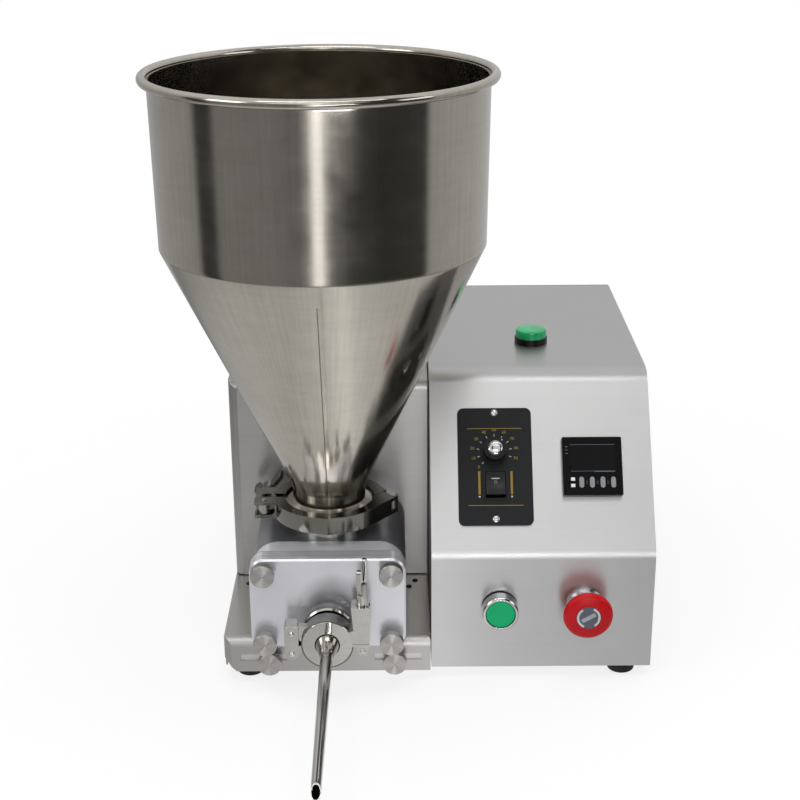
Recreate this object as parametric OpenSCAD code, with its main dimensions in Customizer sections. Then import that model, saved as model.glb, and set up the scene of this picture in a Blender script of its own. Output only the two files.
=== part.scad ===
// Counter-top filling machine: hopper, two-rotor gear pump, long filling nozzle and control cabinet.
// Machine axes: x runs to the right from the cabinet's left wall, y runs back from the
// cabinet's lower front face, z runs up from the counter. place() moves it all to the part's frame.

/* [Control cabinet] */
// Width of the cabinet
cab_w = 179; // [160:1:220]
// Depth of the cabinet, front face to back edge
cab_depth = 335; // [320:1:360]
// Height of the cabinet's top
cab_top = 235; // [232:1:270]
// Height of the bend between the lower front and the sloped panel
knee_z = 111; // [108:1:114]
// How far back the bend between the sloped panel and the top lies
brow_y = 90; // [86:1:96]
// Outside radius of the bend at the foot of the sloped panel
knee_r = 14; // [6:1:18]
// Outside radius of the bend at the head of the sloped panel
brow_r = 20; // [8:1:24]
// Thickness of the stainless sheet
sheet = 1.5; // [1.2:0.1:2]

/* [Pump side] */
// Width of the base and the drive housing
side_w = 168.5; // [162:0.5:190]
// How far the base stands forward of the cabinet's front
base_proud = 5; // [4:1:8]
// Height of the base's top plate
base_top = 39.5; // [38:0.5:42]
// How far back the drive housing's front face lies
housing_y = 108; // [106:1:112]
// Height of the drive housing's top
housing_top = 220; // [190:1:230]
// Outside radius of the bends on the base and the housing
bend_r = 8; // [4:1:10]
// Diameter of a rubber foot
foot_d = 24; // [20:1:28]
// Height of a rubber foot
foot_h = 10; // [8:1:12]

/* [Pump] */
// Distance of the pump's middle plane from the cabinet's left wall
pump_x = 82.3; // [80:0.1:86]
// Width of the pump body, bearing plate and cover
pump_w = 123.5; // [120:0.5:130]
// Height of the pump body, bearing plate and cover
pump_h = 78; // [76:1:84]
// Thickness of the front cover
cover_t = 16; // [12:1:18]
// Thickness of the bearing plate
plate_t = 17; // [14:1:20]
// Corner radius of the front cover
cover_r = 12; // [6:1:16]
// Corner radius of the pump body and the bearing plate
body_r = 22; // [14:1:24]
// Distance between the two rotor shafts, which is also the rotors' pitch diameter
rotor_cd = 44; // [42:1:46]
// Number of teeth on each rotor, an odd number
rotor_teeth = 11; // [9:2:13]
// Radius of the rotor shafts
shaft_r = 8; // [7:0.5:9]
// Half the width between the studs of the cover
stud_dx = 50.2; // [49:0.1:51]
// Half the height between the studs of the cover
stud_dz = 30.3; // [29:0.1:31]

/* [Hopper] */
// Height of the middle of the rolled rim
rim_z = 484; // [440:1:520]
// Outside radius of the hopper at the rim
bowl_r_top = 127.2; // [110:0.1:140]
// Outside radius of the hopper where the cone begins
bowl_r_low = 125.2; // [108:0.1:138]
// Height where the cone begins
cone_top = 357; // [330:0.5:380]
// Height where the cone meets the neck
cone_low = 157; // [154:1:170]
// Outside radius of the neck and of the inlet tube
neck_r = 29.5; // [28:0.5:30]
// How far back the hopper's axis lies
hopper_y = 47; // [44:1:50]
// Radius of the rolled rim's own section
bead_r = 3.7; // [2.5:0.1:5]

/* [Nozzle] */
// Height of the nozzle's axis
nozzle_z = 56.5; // [56:0.1:57]
// Distance of the nozzle's tip in front of the cabinet's front
nozzle_reach = 245; // [180:1:300]
// Outside radius of the tube at its root
tube_root_r = 4.9; // [4.5:0.1:6]
// Outside radius of the tube at its tip
tube_tip_r = 3.6; // [3.4:0.1:4.4]
// Radius of the tube's bore
tube_bore_r = 2.9; // [2.4:0.1:3.2]
// Angle of the slanting cut at the tip
tip_cut = 32; // [20:1:60]

/* [Clamps] */
// Height of a clamp along the pipe's axis
clamp_h = 14; // [13:0.5:16]
// Radius of the hopper's clamp flanges
big_flange_r = 38.75; // [38.5:0.05:39]
// Radius of the nozzle's clamp flanges
small_flange_r = 12.6; // [12.5:0.1:12.7]

/* [Controls] */
// Place of the speed controller along the panel's width and up its slope
ctrl_pos = [52.2, 72.2];
// Size of the speed controller's face plate
ctrl_size = [60, 97];
// Place of the timer along the panel's width and up its slope
timer_pos = [130.2, 71];
// Width and height of the timer's square bezel
timer_w = 48; // [45:1:50]
// Place of the start button on the lower front, across and up
start_pos = [55, 65];
// Place of the stop button on the lower front, across and up
stop_pos = [124, 67];
// Place of the signal lamp on the top, across and back
lamp_pos = [89.4, 162.5];
// Diameter of the mushroom head
stop_d = 39.6; // [36:0.2:42]
// Diameter of the start button's metal bezel
start_d = 29.2; // [28:0.2:30]

/* [Hidden] */
$fn = 72;
eps = 0.01;

// --- places worked out from the driving dimensions ---
panel_tilt = atan2(cab_top - knee_z, brow_y);
pump_z = base_top + pump_h / 2;
plate_y = -18.5 + cover_t;            // front of the bearing plate
cover_y = -18.5;                      // front of the cover
stud_r = 3;
body_y = plate_y + plate_t;           // front of the pump body
chamber_y = 84.5;                     // back of the rotor chamber
drive_x = -rotor_cd / 2;              // shaft places, measured from the pump's middle plane
idler_x = rotor_cd / 2;
rotor_r = rotor_cd / 2 + rotor_cd / rotor_teeth;   // tip radius
port_r = 8;                           // outlet channel
seal_r = 32.4;                        // end radius of the seal around the chamber
port_dz = nozzle_z - pump_z;          // outlet channel below the shafts
joint_z = 136.5;                      // middle plane of the hopper's clamp joint
joint_y = -37;                        // middle plane of the nozzle's clamp joint
small_tube_r = 9.5;                   // pipe in the nozzle's clamp joint
collar_r = 20.5;                      // collar of that pipe on the pump's cover
collar_t = 5.5;
gasket_t = 2;
flange_lip = 2.85;                    // flange thickness at its rim
wall = 1.5;                           // hopper wall
rear_face = cab_depth + sheet;
louvre_d = 4;
lock_z = 22.8;                        // height of the lock studs
lock_r = 2.5;
lock_x = [-130.6, -29.8];
slot_x = [-136.3, -27];
fit = 0.05;                           // radial clearance of a running fit
run = 0.3;                            // clearance between parts that pass each other

// The frame's origin is the middle of the whole machine's footprint, on the counter.
rim_r = bowl_r_top + bead_r + 3.2;
frame_x = (cab_w - pump_x - rim_r) / 2;
frame_y = (rear_face + louvre_d - nozzle_reach) / 2;

module place() { translate([-frame_x, -frame_y, 0]) children(); }
module at_pump(y = 0) { translate([-pump_x, y, pump_z]) children(); }
// Local z points out of the lower front face, local y up.
module on_front(p) { translate([p[0], 0, p[1]]) rotate([90, 0, 0]) children(); }
// Local z points out of the sloped panel, local y up its slope.
module on_panel(p) {
    translate([0, 0, knee_z]) rotate([panel_tilt, 0, 0]) translate([p[0], p[1], 0]) children();
}
// A rod along +y from y0 to y1.
module rod_y(r, y0, y1, r2 = undef) {
    translate([0, y0, 0]) rotate([-90, 0, 0])
        cylinder(r1 = r, r2 = is_undef(r2) ? r : r2, h = y1 - y0);
}
// Extrudes an x-z outline along y, from y0 to y1.
module slab_y(y0, y1) { translate([0, y1, 0]) rotate([90, 0, 0]) linear_extrude(y1 - y0) children(); }
// Extrudes a y-z outline along x, from x0 to x1.
module slab_x(x0, x1) {
    translate([x0, 0, 0]) rotate([90, 0, 90]) linear_extrude(x1 - x0) children();
}
module box(lo, hi) { translate(lo) cube(hi - lo); }

// --- outlines with true round corners ---
function unit(v) = v / norm(v);
// The centre of the arc that rounds corner p between its neighbours a and b.
function arc_mid(a, p, b, r) =
    let (u = unit(a - p), v = unit(b - p), half = acos(u * v) / 2)
    p + unit(u + v) * r / sin(half);
function foot_on(c, p, q) = p + unit(q - p) * ((c - p) * unit(q - p));
// A corner moved inwards by t, for an outline that runs counter-clockwise.
function inset_corner(a, p, b, t) =
    let (u = unit(p - a), v = unit(b - p), n = [-u[1], u[0]], m = [-v[1], v[0]])
    p + unit(n + m) * t / sqrt((1 + n * m) / 2);
function inset(pts, t) = [
    for (i = [0 : len(pts) - 1])
        inset_corner(pts[(i + len(pts) - 1) % len(pts)], pts[i], pts[(i + 1) % len(pts)], t)
];
function less(radii, t) = [for (r = radii) r > t ? r - t : 0];
// A convex outline whose corner i is rounded by radii[i].
module rounded(pts, radii) {
    n = len(pts);
    difference() {
        polygon(pts);
        for (i = [0 : n - 1]) if (radii[i] > 0) {
            a = pts[(i + n - 1) % n];
            p = pts[i];
            b = pts[(i + 1) % n];
            c = arc_mid(a, p, b, radii[i]);
            ta = foot_on(c, p, a);
            tb = foot_on(c, p, b);
            polygon([c, c + (ta - c) * 1.2, p + (p - c) * 0.4, c + (tb - c) * 1.2]);
        }
    }
    for (i = [0 : n - 1]) if (radii[i] > 0)
        translate(arc_mid(pts[(i + n - 1) % n], pts[i], pts[(i + 1) % n], radii[i]))
            circle(radii[i]);
}
module round_rect(w, h, r) {
    rounded([[-w / 2, -h / 2], [w / 2, -h / 2], [w / 2, h / 2], [-w / 2, h / 2]], [r, r, r, r]);
}
module pill(w, h) {
    square([w, h - w], center = true);
    for (s = [-1, 1]) translate([0, s * (h - w) / 2]) circle(w / 2);
}
module stadium(r, half) {
    square([2 * half, 2 * r], center = true);
    for (s = [-1, 1]) translate([s * half, 0]) circle(r);
}

// --- sheet-metal bodies ---
cab_side = [[0, foot_h], [cab_depth, foot_h], [cab_depth, cab_top], [brow_y, cab_top], [0, knee_z]];
cab_bends = [0, 0, 3, brow_r, knee_r];
tray_side = [[-base_proud, foot_h], [cab_depth, foot_h], [cab_depth, base_top], [-base_proud, base_top]];
tray_bends = [0, 0, 0, bend_r];
tray_corner = 3;
housing_low = base_top + 0.4;         // a fine seam above the base's top plate
housing_side = [[housing_y, housing_low], [cab_depth, housing_low], [cab_depth, housing_top],
                [housing_y, housing_top]];
housing_bends = [0, 0, 2, bend_r];

module control_cabinet() {
    color([0.78, 0.78, 0.77]) difference() {
        slab_x(0, cab_w) rounded(cab_side, cab_bends);
        slab_x(sheet, cab_w - sheet) difference() {
            rounded(inset(cab_side, sheet), less(cab_bends, sheet));
            translate([cab_depth - sheet, 0]) square([sheet * 2, cab_top]);
        }
        // open floor and an open back inside a fixing flange
        box([sheet, sheet, foot_h - 1], [cab_w - sheet, cab_depth - 14, foot_h + sheet + eps]);
        box([14, cab_depth - 14, foot_h + 14], [cab_w - 14, cab_depth + 1, cab_top - 14]);
        // cut-outs for the controls
        on_panel(ctrl_pos) translate([-25.5, -40, -5]) cube([51, 80, 10]);
        on_panel(timer_pos) translate([-22.5, -22.5, -5]) cube([45, 45, 10]);
        for (p = [start_pos, stop_pos]) on_front(p) translate([0, 0, -5]) cylinder(r = 11.2, h = 10);
        translate([lamp_pos[0], lamp_pos[1], cab_top - 5]) cylinder(r = 11.2, h = 10);
    }
}

// The base's outline seen from above, with its front left corner cut off.
function tray_plan(t) = [
    [-side_w + t, cab_depth - t], [-side_w + t, -base_proud + 6 + t * 0.41],
    [-side_w + 6 + t * 0.41, -base_proud + t], [-0.8 - t, -base_proud + t], [-0.8 - t, cab_depth - t]
];
module base_tray() {
    color([0.72, 0.71, 0.71]) difference() {
        intersection() {
            slab_x(-side_w, -0.8) rounded(tray_side, tray_bends);
            translate([0, 0, 0]) linear_extrude(base_top + 1) polygon(tray_plan(0));
        }
        intersection() {
            slab_x(-side_w, 0) rounded(
                [[-base_proud + sheet, foot_h - 2], [cab_depth - sheet, foot_h - 2],
                 [cab_depth - sheet, base_top - sheet], [-base_proud + sheet, base_top - sheet]],
                [0, 0, 0, bend_r - sheet]);
            linear_extrude(base_top + 1) polygon(tray_plan(sheet));
        }
        // the lower left corner is cut back
        translate([-side_w, -base_proud - 1, foot_h]) rotate([0, 45, 0]) translate([-7, 0, -7])
            cube([14, 12, 14]);
        // the front's upper right corner is rounded
        slab_y(-base_proud - 1, -base_proud + bend_r) difference() {
            translate([-0.8 - tray_corner, base_top - tray_corner]) square(tray_corner + 5);
            translate([-0.8 - tray_corner, base_top - tray_corner]) circle(tray_corner);
        }
        // slots that the lock studs pass through
        for (x = slot_x) translate([x, 0, lock_z])
            slab_y(-base_proud - 1, -base_proud + 4) square([37.6, 5.8], center = true);
        // holes for the bolts that tie the pump to its foot
        for (s = [-1, 1]) translate([-pump_x + s * 42, 30, base_top - 4]) cylinder(r = 3.4, h = 8);
    }
}

function housing_plan(t) = [
    [-side_w + t, cab_depth + (t > 0 ? 5 : 0)], [-side_w + t, housing_y + t],
    [-0.8 - t, housing_y + t], [-0.8 - t, cab_depth + (t > 0 ? 5 : 0)]
];
module drive_housing() {
    color([0.74, 0.73, 0.74]) difference() {
        intersection() {
            slab_x(-side_w, -0.8) rounded(housing_side, housing_bends);
            linear_extrude(housing_top + 1) rounded(housing_plan(0), [0, bend_r, 0, 0]);
        }
        intersection() {
            slab_x(-side_w, 0) rounded(
                [[housing_y + sheet, housing_low - 2], [cab_depth - 12, housing_low - 2],
                 [cab_depth - 12, housing_top - sheet], [housing_y + sheet, housing_top - sheet]],
                [0, 0, 0, bend_r - sheet]);
            linear_extrude(housing_top + 1) rounded(housing_plan(sheet), [0, bend_r - sheet, 0, 0]);
        }
        // open back inside a fixing flange
        box([-side_w + 12, cab_depth - 14, housing_low - 1], [-12.8, cab_depth + 1, housing_top - 12]);
        // passage for the drive shaft
        at_pump() translate([drive_x, 0, 0]) rod_y(19, housing_y - 2, housing_y + 5);
    }
}

module floor_pans() {
    color([0.62, 0.62, 0.62]) {
        box([-side_w + sheet + 6, -base_proud + sheet + 6, foot_h],
            [-0.8 - sheet, cab_depth - sheet, foot_h + 2]);
        box([sheet, sheet, foot_h], [cab_w - sheet, cab_depth - 14, foot_h + 2]);
    }
}

foot_xy = [[-149, 15], [157, 15], [-149, cab_depth - 20], [157, cab_depth - 20]];
module rubber_feet() {
    color([0.08, 0.08, 0.08]) for (p = foot_xy) translate([p[0], p[1], 0])
        rotate_extrude() polygon([
            [0, 0.6], [3, 0.6], [3.6, 0], [foot_d / 2 - 2, 0], [foot_d / 2 - 1, 1],
            [foot_d / 2, foot_h - 1], [foot_d / 2 - 0.6, foot_h], [0, foot_h]
        ]);
}

// A row of pressed louvres, each a slot under a hood, over an area w by h.
module louvre_hoods(w, count, pitch) {
    for (i = [0 : count - 1]) translate([0, rear_face, i * pitch]) slab_x(-w / 2, w / 2)
        polygon([[-eps, 0], [louvre_d, 1], [louvre_d, 2.2], [-eps, 9]]);
}
module louvre_slots(w, count, pitch) {
    for (i = [0 : count - 1]) translate([0, rear_face, i * pitch]) slab_x(-w / 2 + 1.5, w / 2 - 1.5)
        polygon([[-sheet - 1, 0.9], [0, 0.9], [louvre_d - 1, 1.9], [louvre_d - 1, 2], [0, 6.5],
                 [-sheet - 1, 6.5]]);
}
module louvred_cover(x0, x1, z0, z1, at_z, count) {
    mid = (x0 + x1) / 2;
    difference() {
        union() {
            box([x0, cab_depth, z0], [x1, rear_face, z1]);
            translate([mid, 0, at_z]) louvre_hoods(90, count, 14);
        }
        translate([mid, 0, at_z]) louvre_slots(90, count, 14);
        // each slot opens downwards under its hood
        for (i = [0 : count - 1])
            box(
                [mid - 43.5, rear_face + 0.4, at_z + i * 14 - 1],
                [mid + 43.5, rear_face + 2.9, at_z + i * 14 + 2]);
        children();
    }
}
module drive_rear_cover() {
    color([0.72, 0.72, 0.72]) louvred_cover(-side_w + 0.5, -1.3, housing_low + 0.5, housing_top - 0.5, 85, 6);
}
inlet_pos = [cab_w - 45, 45];
module cabinet_rear_cover() {
    color([0.72, 0.72, 0.72]) louvred_cover(0.5, cab_w - 0.5, foot_h + 0.5, cab_top - 0.5, 100, 6)
        translate([inlet_pos[0], 0, inlet_pos[1]]) slab_y(cab_depth - 5, rear_face + 5)
            square([28, 21], center = true);
}
module power_inlet() {
    color([0.1, 0.1, 0.1]) translate([inlet_pos[0], 0, inlet_pos[1]]) {
        difference() {
            union() {
                slab_y(rear_face, rear_face + 2.5) round_rect(48, 24, 5);
                slab_y(cab_depth - 16, rear_face + 1) square([27.6, 20.6], center = true);
            }
            slab_y(rear_face - 13, rear_face + 3)
                polygon([[-12, -8], [12, -8], [12, 3], [7, 8], [-7, 8], [-12, 3]]);
            for (s = [-1, 1]) translate([s * 20, 0, 0]) rod_y(1.8, rear_face - 1, rear_face + 3);
        }
        for (p = [[-7, -1.5], [0, 2.5], [7, -1.5]])
            box([p[0] - 1, rear_face - 14, p[1] - 2], [p[0] + 1, rear_face - 1.5, p[1] + 2]);
    }
}

// --- pump ---
module pump_outline(r) { round_rect(pump_w, pump_h, r); }
module stud_holes(r, y0, y1) {
    for (sx = [-1, 1], sz = [-1, 1]) translate([sx * stud_dx, 0, sz * stud_dz]) rod_y(r, y0, y1);
}
module seal_groove(extra = 0) {
    difference() {
        stadium(seal_r + 1.2 + extra, rotor_cd / 2);
        stadium(seal_r - 1.2 - extra, rotor_cd / 2);
    }
}
module pump_body() {
    color([0.22, 0.23, 0.24]) at_pump() difference() {
        slab_y(body_y, housing_y) pump_outline(body_r);
        // rotor chamber, inlet and outlet channel
        for (x = [drive_x, idler_x]) translate([x, 0, 0]) rod_y(rotor_r + run, body_y - 1, chamber_y);
        translate([0, hopper_y, 0]) cylinder(r = neck_r - 4.5, h = pump_h);
        translate([0, 0, port_dz]) rod_y(port_r, body_y - 1, chamber_y - 2);
        // inlet tube seat
        translate([0, hopper_y, pump_h / 2 - 6]) cylinder(r = neck_r, h = 10);
        // bush and seal seats
        translate([drive_x, 0, 0]) {
            rod_y(12, chamber_y - 1, chamber_y + 14);
            rod_y(9.5, chamber_y - 1, housing_y + 1);
            rod_y(15, housing_y - 7, housing_y + 1);
        }
        translate([idler_x, 0, 0]) rod_y(12, chamber_y - 1, chamber_y + 14);
        stud_holes(stud_r + fit, body_y - 1, body_y + 18);
        slab_y(body_y - 1, body_y + 1.6) seal_groove(0.05);
        for (s = [-1, 1]) translate([s * 42, 30, -pump_h / 2 - 1]) cylinder(r = 3 + fit, h = 14);
    }
}
module bearing_plate() {
    color([0.80, 0.80, 0.82]) at_pump() difference() {
        slab_y(plate_y, body_y) pump_outline(body_r);
        for (x = [drive_x, idler_x]) translate([x, 0, 0]) rod_y(12, plate_y - 1, body_y + 1);
        translate([0, 0, port_dz]) rod_y(port_r, plate_y - 1, body_y + 1);
        stud_holes(stud_r + 0.4, plate_y - 1, body_y + 1);
        slab_y(plate_y - 1, plate_y + 1.6) seal_groove(0.05);
    }
}
// The cover's edge is chamfered all round its front face.
cover_chamfer = 1.4;
module front_cover() {
    color([0.74, 0.74, 0.77]) at_pump() difference() {
        union() {
            slab_y(cover_y + cover_chamfer, plate_y) round_rect(pump_w, pump_h, cover_r);
            // chamfered face: straight wedges and corner cones meet at the tangent lines
            slab_y(cover_y, cover_y + cover_chamfer + eps)
                round_rect(pump_w - 2 * cover_chamfer, pump_h - 2 * cover_chamfer, cover_r - cover_chamfer);
            for (s = [-1, 1]) {
                slab_x(-pump_w / 2 + cover_r, pump_w / 2 - cover_r) polygon([
                    [cover_y, s * (pump_h / 2 - 4)], [cover_y, s * (pump_h / 2 - cover_chamfer)],
                    [cover_y + cover_chamfer, s * pump_h / 2],
                    [cover_y + cover_chamfer, s * (pump_h / 2 - 4)]]);
                translate([0, 0, -pump_h / 2 + cover_r]) linear_extrude(pump_h - 2 * cover_r) polygon([
                    [s * (pump_w / 2 - 4), cover_y], [s * (pump_w / 2 - cover_chamfer), cover_y],
                    [s * pump_w / 2, cover_y + cover_chamfer],
                    [s * (pump_w / 2 - 4), cover_y + cover_chamfer]]);
            }
            for (sx = [-1, 1], sz = [-1, 1])
                translate([sx * (pump_w / 2 - cover_r), 0, sz * (pump_h / 2 - cover_r)])
                    rod_y(cover_r - cover_chamfer, cover_y, cover_y + cover_chamfer, cover_r);
        }
        translate([0, 0, port_dz]) rod_y(port_r, cover_y - 1, plate_y + 1);
        translate([0, 0, port_dz]) rod_y(small_tube_r, cover_y - 1, cover_y + 6);
        stud_holes(stud_r + 0.4, cover_y - 1, plate_y + 1);
    }
}
module seal_rings() {
    at_pump() {
        slab_y(plate_y, plate_y + 1.6) seal_groove();
        slab_y(body_y, body_y + 1.6) seal_groove();
    }
}
module cover_studs() {
    color([0.75, 0.75, 0.75]) at_pump() stud_holes(stud_r, cover_y - 11, body_y + 15);
}
// A turned thumb nut with a knurled head and a collar; its back sits at y = 0.
nut_head_r = 9.5;
module thumb_nut(bore_r, collar_r) {
    difference() {
        union() {
            rod_y(collar_r, -7, 0);
            rod_y(nut_head_r, -12.4, -6);
            rod_y(nut_head_r - 0.6, -13, -12.4, nut_head_r);
        }
        rod_y(bore_r, -11.5, 1);
    }
}
module cover_nut(sx, sz) {
    color([0.68, 0.67, 0.64]) at_pump(cover_y - 0.05) translate([sx * stud_dx, 0, sz * stud_dz])
        thumb_nut(stud_r + fit, 5.8);
}
module cover_nut_1() { cover_nut(-1, 1); }
module cover_nut_2() { cover_nut(1, 1); }
module cover_nut_3() { cover_nut(-1, -1); }
module cover_nut_4() { cover_nut(1, -1); }

// The foot under the pump: an angle behind the base's front, with the two lock studs.
module pump_foot() {
    color([0.7, 0.7, 0.7]) translate([-pump_x, 0, 0]) {
        front = -base_proud + sheet;
        under = base_top - sheet;
        slab_x(-pump_w / 2 - 13, pump_w / 2 + 13) polygon([
            [front, foot_h + 4], [front + 3, foot_h + 4], [front + 3, under - 10], [front + 10, under - 3],
            [48, under - 3], [48, under], [front + 7, under], [front, under - 7]]);
        // bolts up into the pump body
        for (s = [-1, 1]) translate([s * 42, 30, 0]) {
            translate([0, 0, under - 8]) cylinder(r = 5, h = 5 + eps);
            translate([0, 0, under - 1]) cylinder(r = 3, h = 13);
        }
    }
    color([0.7, 0.7, 0.7]) for (x = lock_x) translate([x, 0, lock_z])
        rod_y(lock_r, -base_proud - 11, -base_proud + sheet + 1);
}
module lock_nut(i) {
    color([0.66, 0.65, 0.63]) translate([lock_x[i], -base_proud - 0.05, lock_z])
        thumb_nut(lock_r + fit, 5.8);
}
module lock_nut_1() { lock_nut(0); }
module lock_nut_2() { lock_nut(1); }

// --- rotors: true involute teeth, with the backlash a food pump runs with ---
pitch_r = rotor_cd / 2;
tooth_m = rotor_cd / rotor_teeth;
pressure = 25;
base_r = pitch_r * cos(pressure);
root_r = pitch_r - 1.15 * tooth_m;
backlash = 0.5;
function inv(a) = tan(a) * 180 / PI - a;
// Angle from a tooth's middle line to its flank, at radius r.
function flank_angle(r) =
    90 / rotor_teeth - backlash / 2 / pitch_r * 180 / PI + inv(pressure)
        - (r > base_r ? inv(acos(base_r / r)) : 0);
flank_rs = concat([root_r], [for (k = [0 : 6]) base_r + (rotor_r - base_r) * k / 6]);
function tooth(a) = concat(
    [for (i = [0 : len(flank_rs) - 1]) let (r = flank_rs[i], f = a - flank_angle(r)) r * [cos(f), sin(f)]],
    [for (i = [len(flank_rs) - 1 : -1 : 0])
        let (r = flank_rs[i], f = a + flank_angle(r)) r * [cos(f), sin(f)]]);
module rotor(x) {
    at_pump() translate([x, 0, 0]) difference() {
        slab_y(body_y + run, chamber_y - run)
            polygon([for (k = [0 : rotor_teeth - 1]) each tooth(k * 360 / rotor_teeth)]);
        rod_y(shaft_r + 0.02, body_y - 1, chamber_y + 1);
    }
}
module drive_rotor() { color([0.85, 0.85, 0.83]) rotor(drive_x); }
module idler_rotor() { color([0.85, 0.85, 0.83]) rotor(idler_x); }
module drive_shafts() {
    color([0.7, 0.7, 0.72]) at_pump() translate([drive_x, 0, 0]) {
        rod_y(shaft_r, plate_y + 1, 125);
        rod_y(7.5, hub_y[2] + 1, gear_y + 20);
    }
}
module idler_shaft() {
    color([0.7, 0.7, 0.72]) at_pump() translate([idler_x, 0, 0]) rod_y(shaft_r, plate_y + 1, chamber_y + 13);
}
module shaft_bushes() {
    color([0.62, 0.48, 0.25]) at_pump() for (x = [drive_x, idler_x]) translate([x, 0, 0]) difference() {
        union() {
            rod_y(12, plate_y + 0.2, body_y - 0.2);
            rod_y(12, chamber_y + 0.2, chamber_y + 13.8);
        }
        rod_y(shaft_r + fit, plate_y - 1, housing_y);
    }
}
module shaft_seal() {
    color([0.25, 0.12, 0.08]) at_pump() translate([drive_x, 0, 0]) difference() {
        rod_y(15, housing_y - 7, housing_y);
        rod_y(shaft_r + fit, housing_y - 8, housing_y + 1);
        difference() {
            rod_y(12.5, housing_y - 3, housing_y + 1);
            rod_y(10, housing_y - 4, housing_y + 2);
        }
    }
}

// --- drive: jaw coupling, right-angle foot bracket, gearhead and motor ---
hub_y = [112, 126, 132, 145];         // front hub, its jaws, back hub's face, back hub's end
module jaw(a, w, y0, y1, r0 = 6, r1 = 15) {
    rotate([0, a, 0]) slab_y(y0, y1) intersection() {
        difference() { circle(r1); circle(r0); }
        polygon([[0, 0], 20 * [cos(w / 2), sin(w / 2)], [20, 0], 20 * [cos(w / 2), -sin(w / 2)]]);
    }
}
module coupling_hubs() {
    color([0.68, 0.68, 0.7]) at_pump() translate([drive_x, 0, 0]) {
        difference() { rod_y(15, hub_y[0], hub_y[1]); rod_y(shaft_r + 0.02, hub_y[0] - 1, hub_y[1] + 1); }
        difference() { rod_y(15, hub_y[2], hub_y[3]); rod_y(7.52, hub_y[2] - 1, hub_y[3] + 1); }
        for (k = [0 : 2]) {
            jaw(k * 120, 38, hub_y[1] - 1, hub_y[2] - 0.4, shaft_r + 1, 15);
            jaw(k * 120 + 60, 38, hub_y[1] + 0.4, hub_y[2] + 1, shaft_r + 1, 15);
        }
    }
}
module coupling_spider() {
    color([0.75, 0.1, 0.1]) at_pump() translate([drive_x, 0, 0]) difference() {
        union() {
            for (k = [0 : 5]) jaw(k * 60 + 30, 21, hub_y[1] + 0.5, hub_y[2] - 0.5, 6.5, 14.8);
            rod_y(8.6, hub_y[1] + 0.5, hub_y[2] - 0.5);
        }
        rod_y(5, hub_y[1], hub_y[2]);
    }
}
gear_y = 152;
gear_dz = 18;                         // the gearhead's output shaft sits below its middle
module gearhead() {
    color([0.55, 0.56, 0.58]) at_pump() difference() {
        union() {
            translate([drive_x, 0, gear_dz]) slab_y(gear_y, gear_y + 60) round_rect(90, 90, 8);
            translate([drive_x, 0, 0]) rod_y(17, gear_y - 5, gear_y + 1);
        }
        translate([drive_x, 0, 0]) rod_y(7.5 + fit, gear_y - 6, gear_y + 22);
        for (sx = [-1, 1], sz = [-1, 1]) translate([drive_x + sx * 36.8, 0, gear_dz + sz * 36.8])
            rod_y(3.3, gear_y - 1, gear_y + 61);
    }
}
module drive_motor() {
    color([0.2, 0.21, 0.22]) at_pump() translate([drive_x, gear_y + 60, gear_dz]) {
        slab_y(0, 12) round_rect(90, 90, 8);
        for (k = [0 : 7]) rod_y(k % 2 == 0 ? 43 : 41, 12 + k * 10, 22 + k * 10);
        slab_y(92, 102) round_rect(90, 90, 20);
        rod_y(30, 102, 108);
    }
}
module motor_bracket() {
    color([0.6, 0.6, 0.6]) at_pump() {
        low = base_top - pump_z;
        difference() {
            translate([drive_x, 0, 0]) {
                box([-50, gear_y - 6, low], [50, gear_y, gear_dz + 50]);
                box([-50, gear_y - 6, low], [50, gear_y + 50, low + 6]);
                for (s = [-1, 1]) slab_x(s * 48 - 2, s * 48 + 2)
                    polygon([[gear_y - 1, low + 5], [gear_y + 48, low + 5], [gear_y - 1, gear_dz + 40]]);
            }
            translate([drive_x, 0, 0]) rod_y(17.3, gear_y - 7, gear_y + 1);
            for (sx = [-1, 1], sz = [-1, 1]) translate([drive_x + sx * 36.8, 0, gear_dz + sz * 36.8])
                rod_y(3.3, gear_y - 7, gear_y + 1);
            for (sx = [-1, 1]) translate([drive_x + sx * 30, gear_y + 38, low - 1]) cylinder(r = 3.3, h = 8);
        }
    }
}

// --- hopper ---
bead_mid_r = bowl_r_top + 3.2;
module hopper() {
    color([0.70, 0.70, 0.68]) translate([-pump_x, hopper_y, 0]) rotate_extrude() {
        back = (big_flange_r - neck_r) * tan(20);
        f0 = joint_z + gasket_t / 2;
        difference() {
            union() {
                polygon([
                    [0, f0], [big_flange_r, f0], [big_flange_r, f0 + flange_lip],
                    [neck_r, f0 + flange_lip + back], [neck_r, cone_low - 4], [neck_r + 1.2, cone_low],
                    [bowl_r_low, cone_top], [bowl_r_top, rim_z], [0, rim_z]]);
                translate([bead_mid_r, rim_z]) circle(bead_r);
            }
            polygon([
                [-1, f0 - 1], [neck_r - wall, f0 - 1], [neck_r - wall, cone_low - 4],
                [neck_r - wall + 0.4, cone_low], [bowl_r_low - wall, cone_top],
                [bowl_r_top - wall, rim_z + 1], [bowl_r_top - wall, rim_z + 10], [-1, rim_z + 10]]);
        }
    }
}

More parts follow.
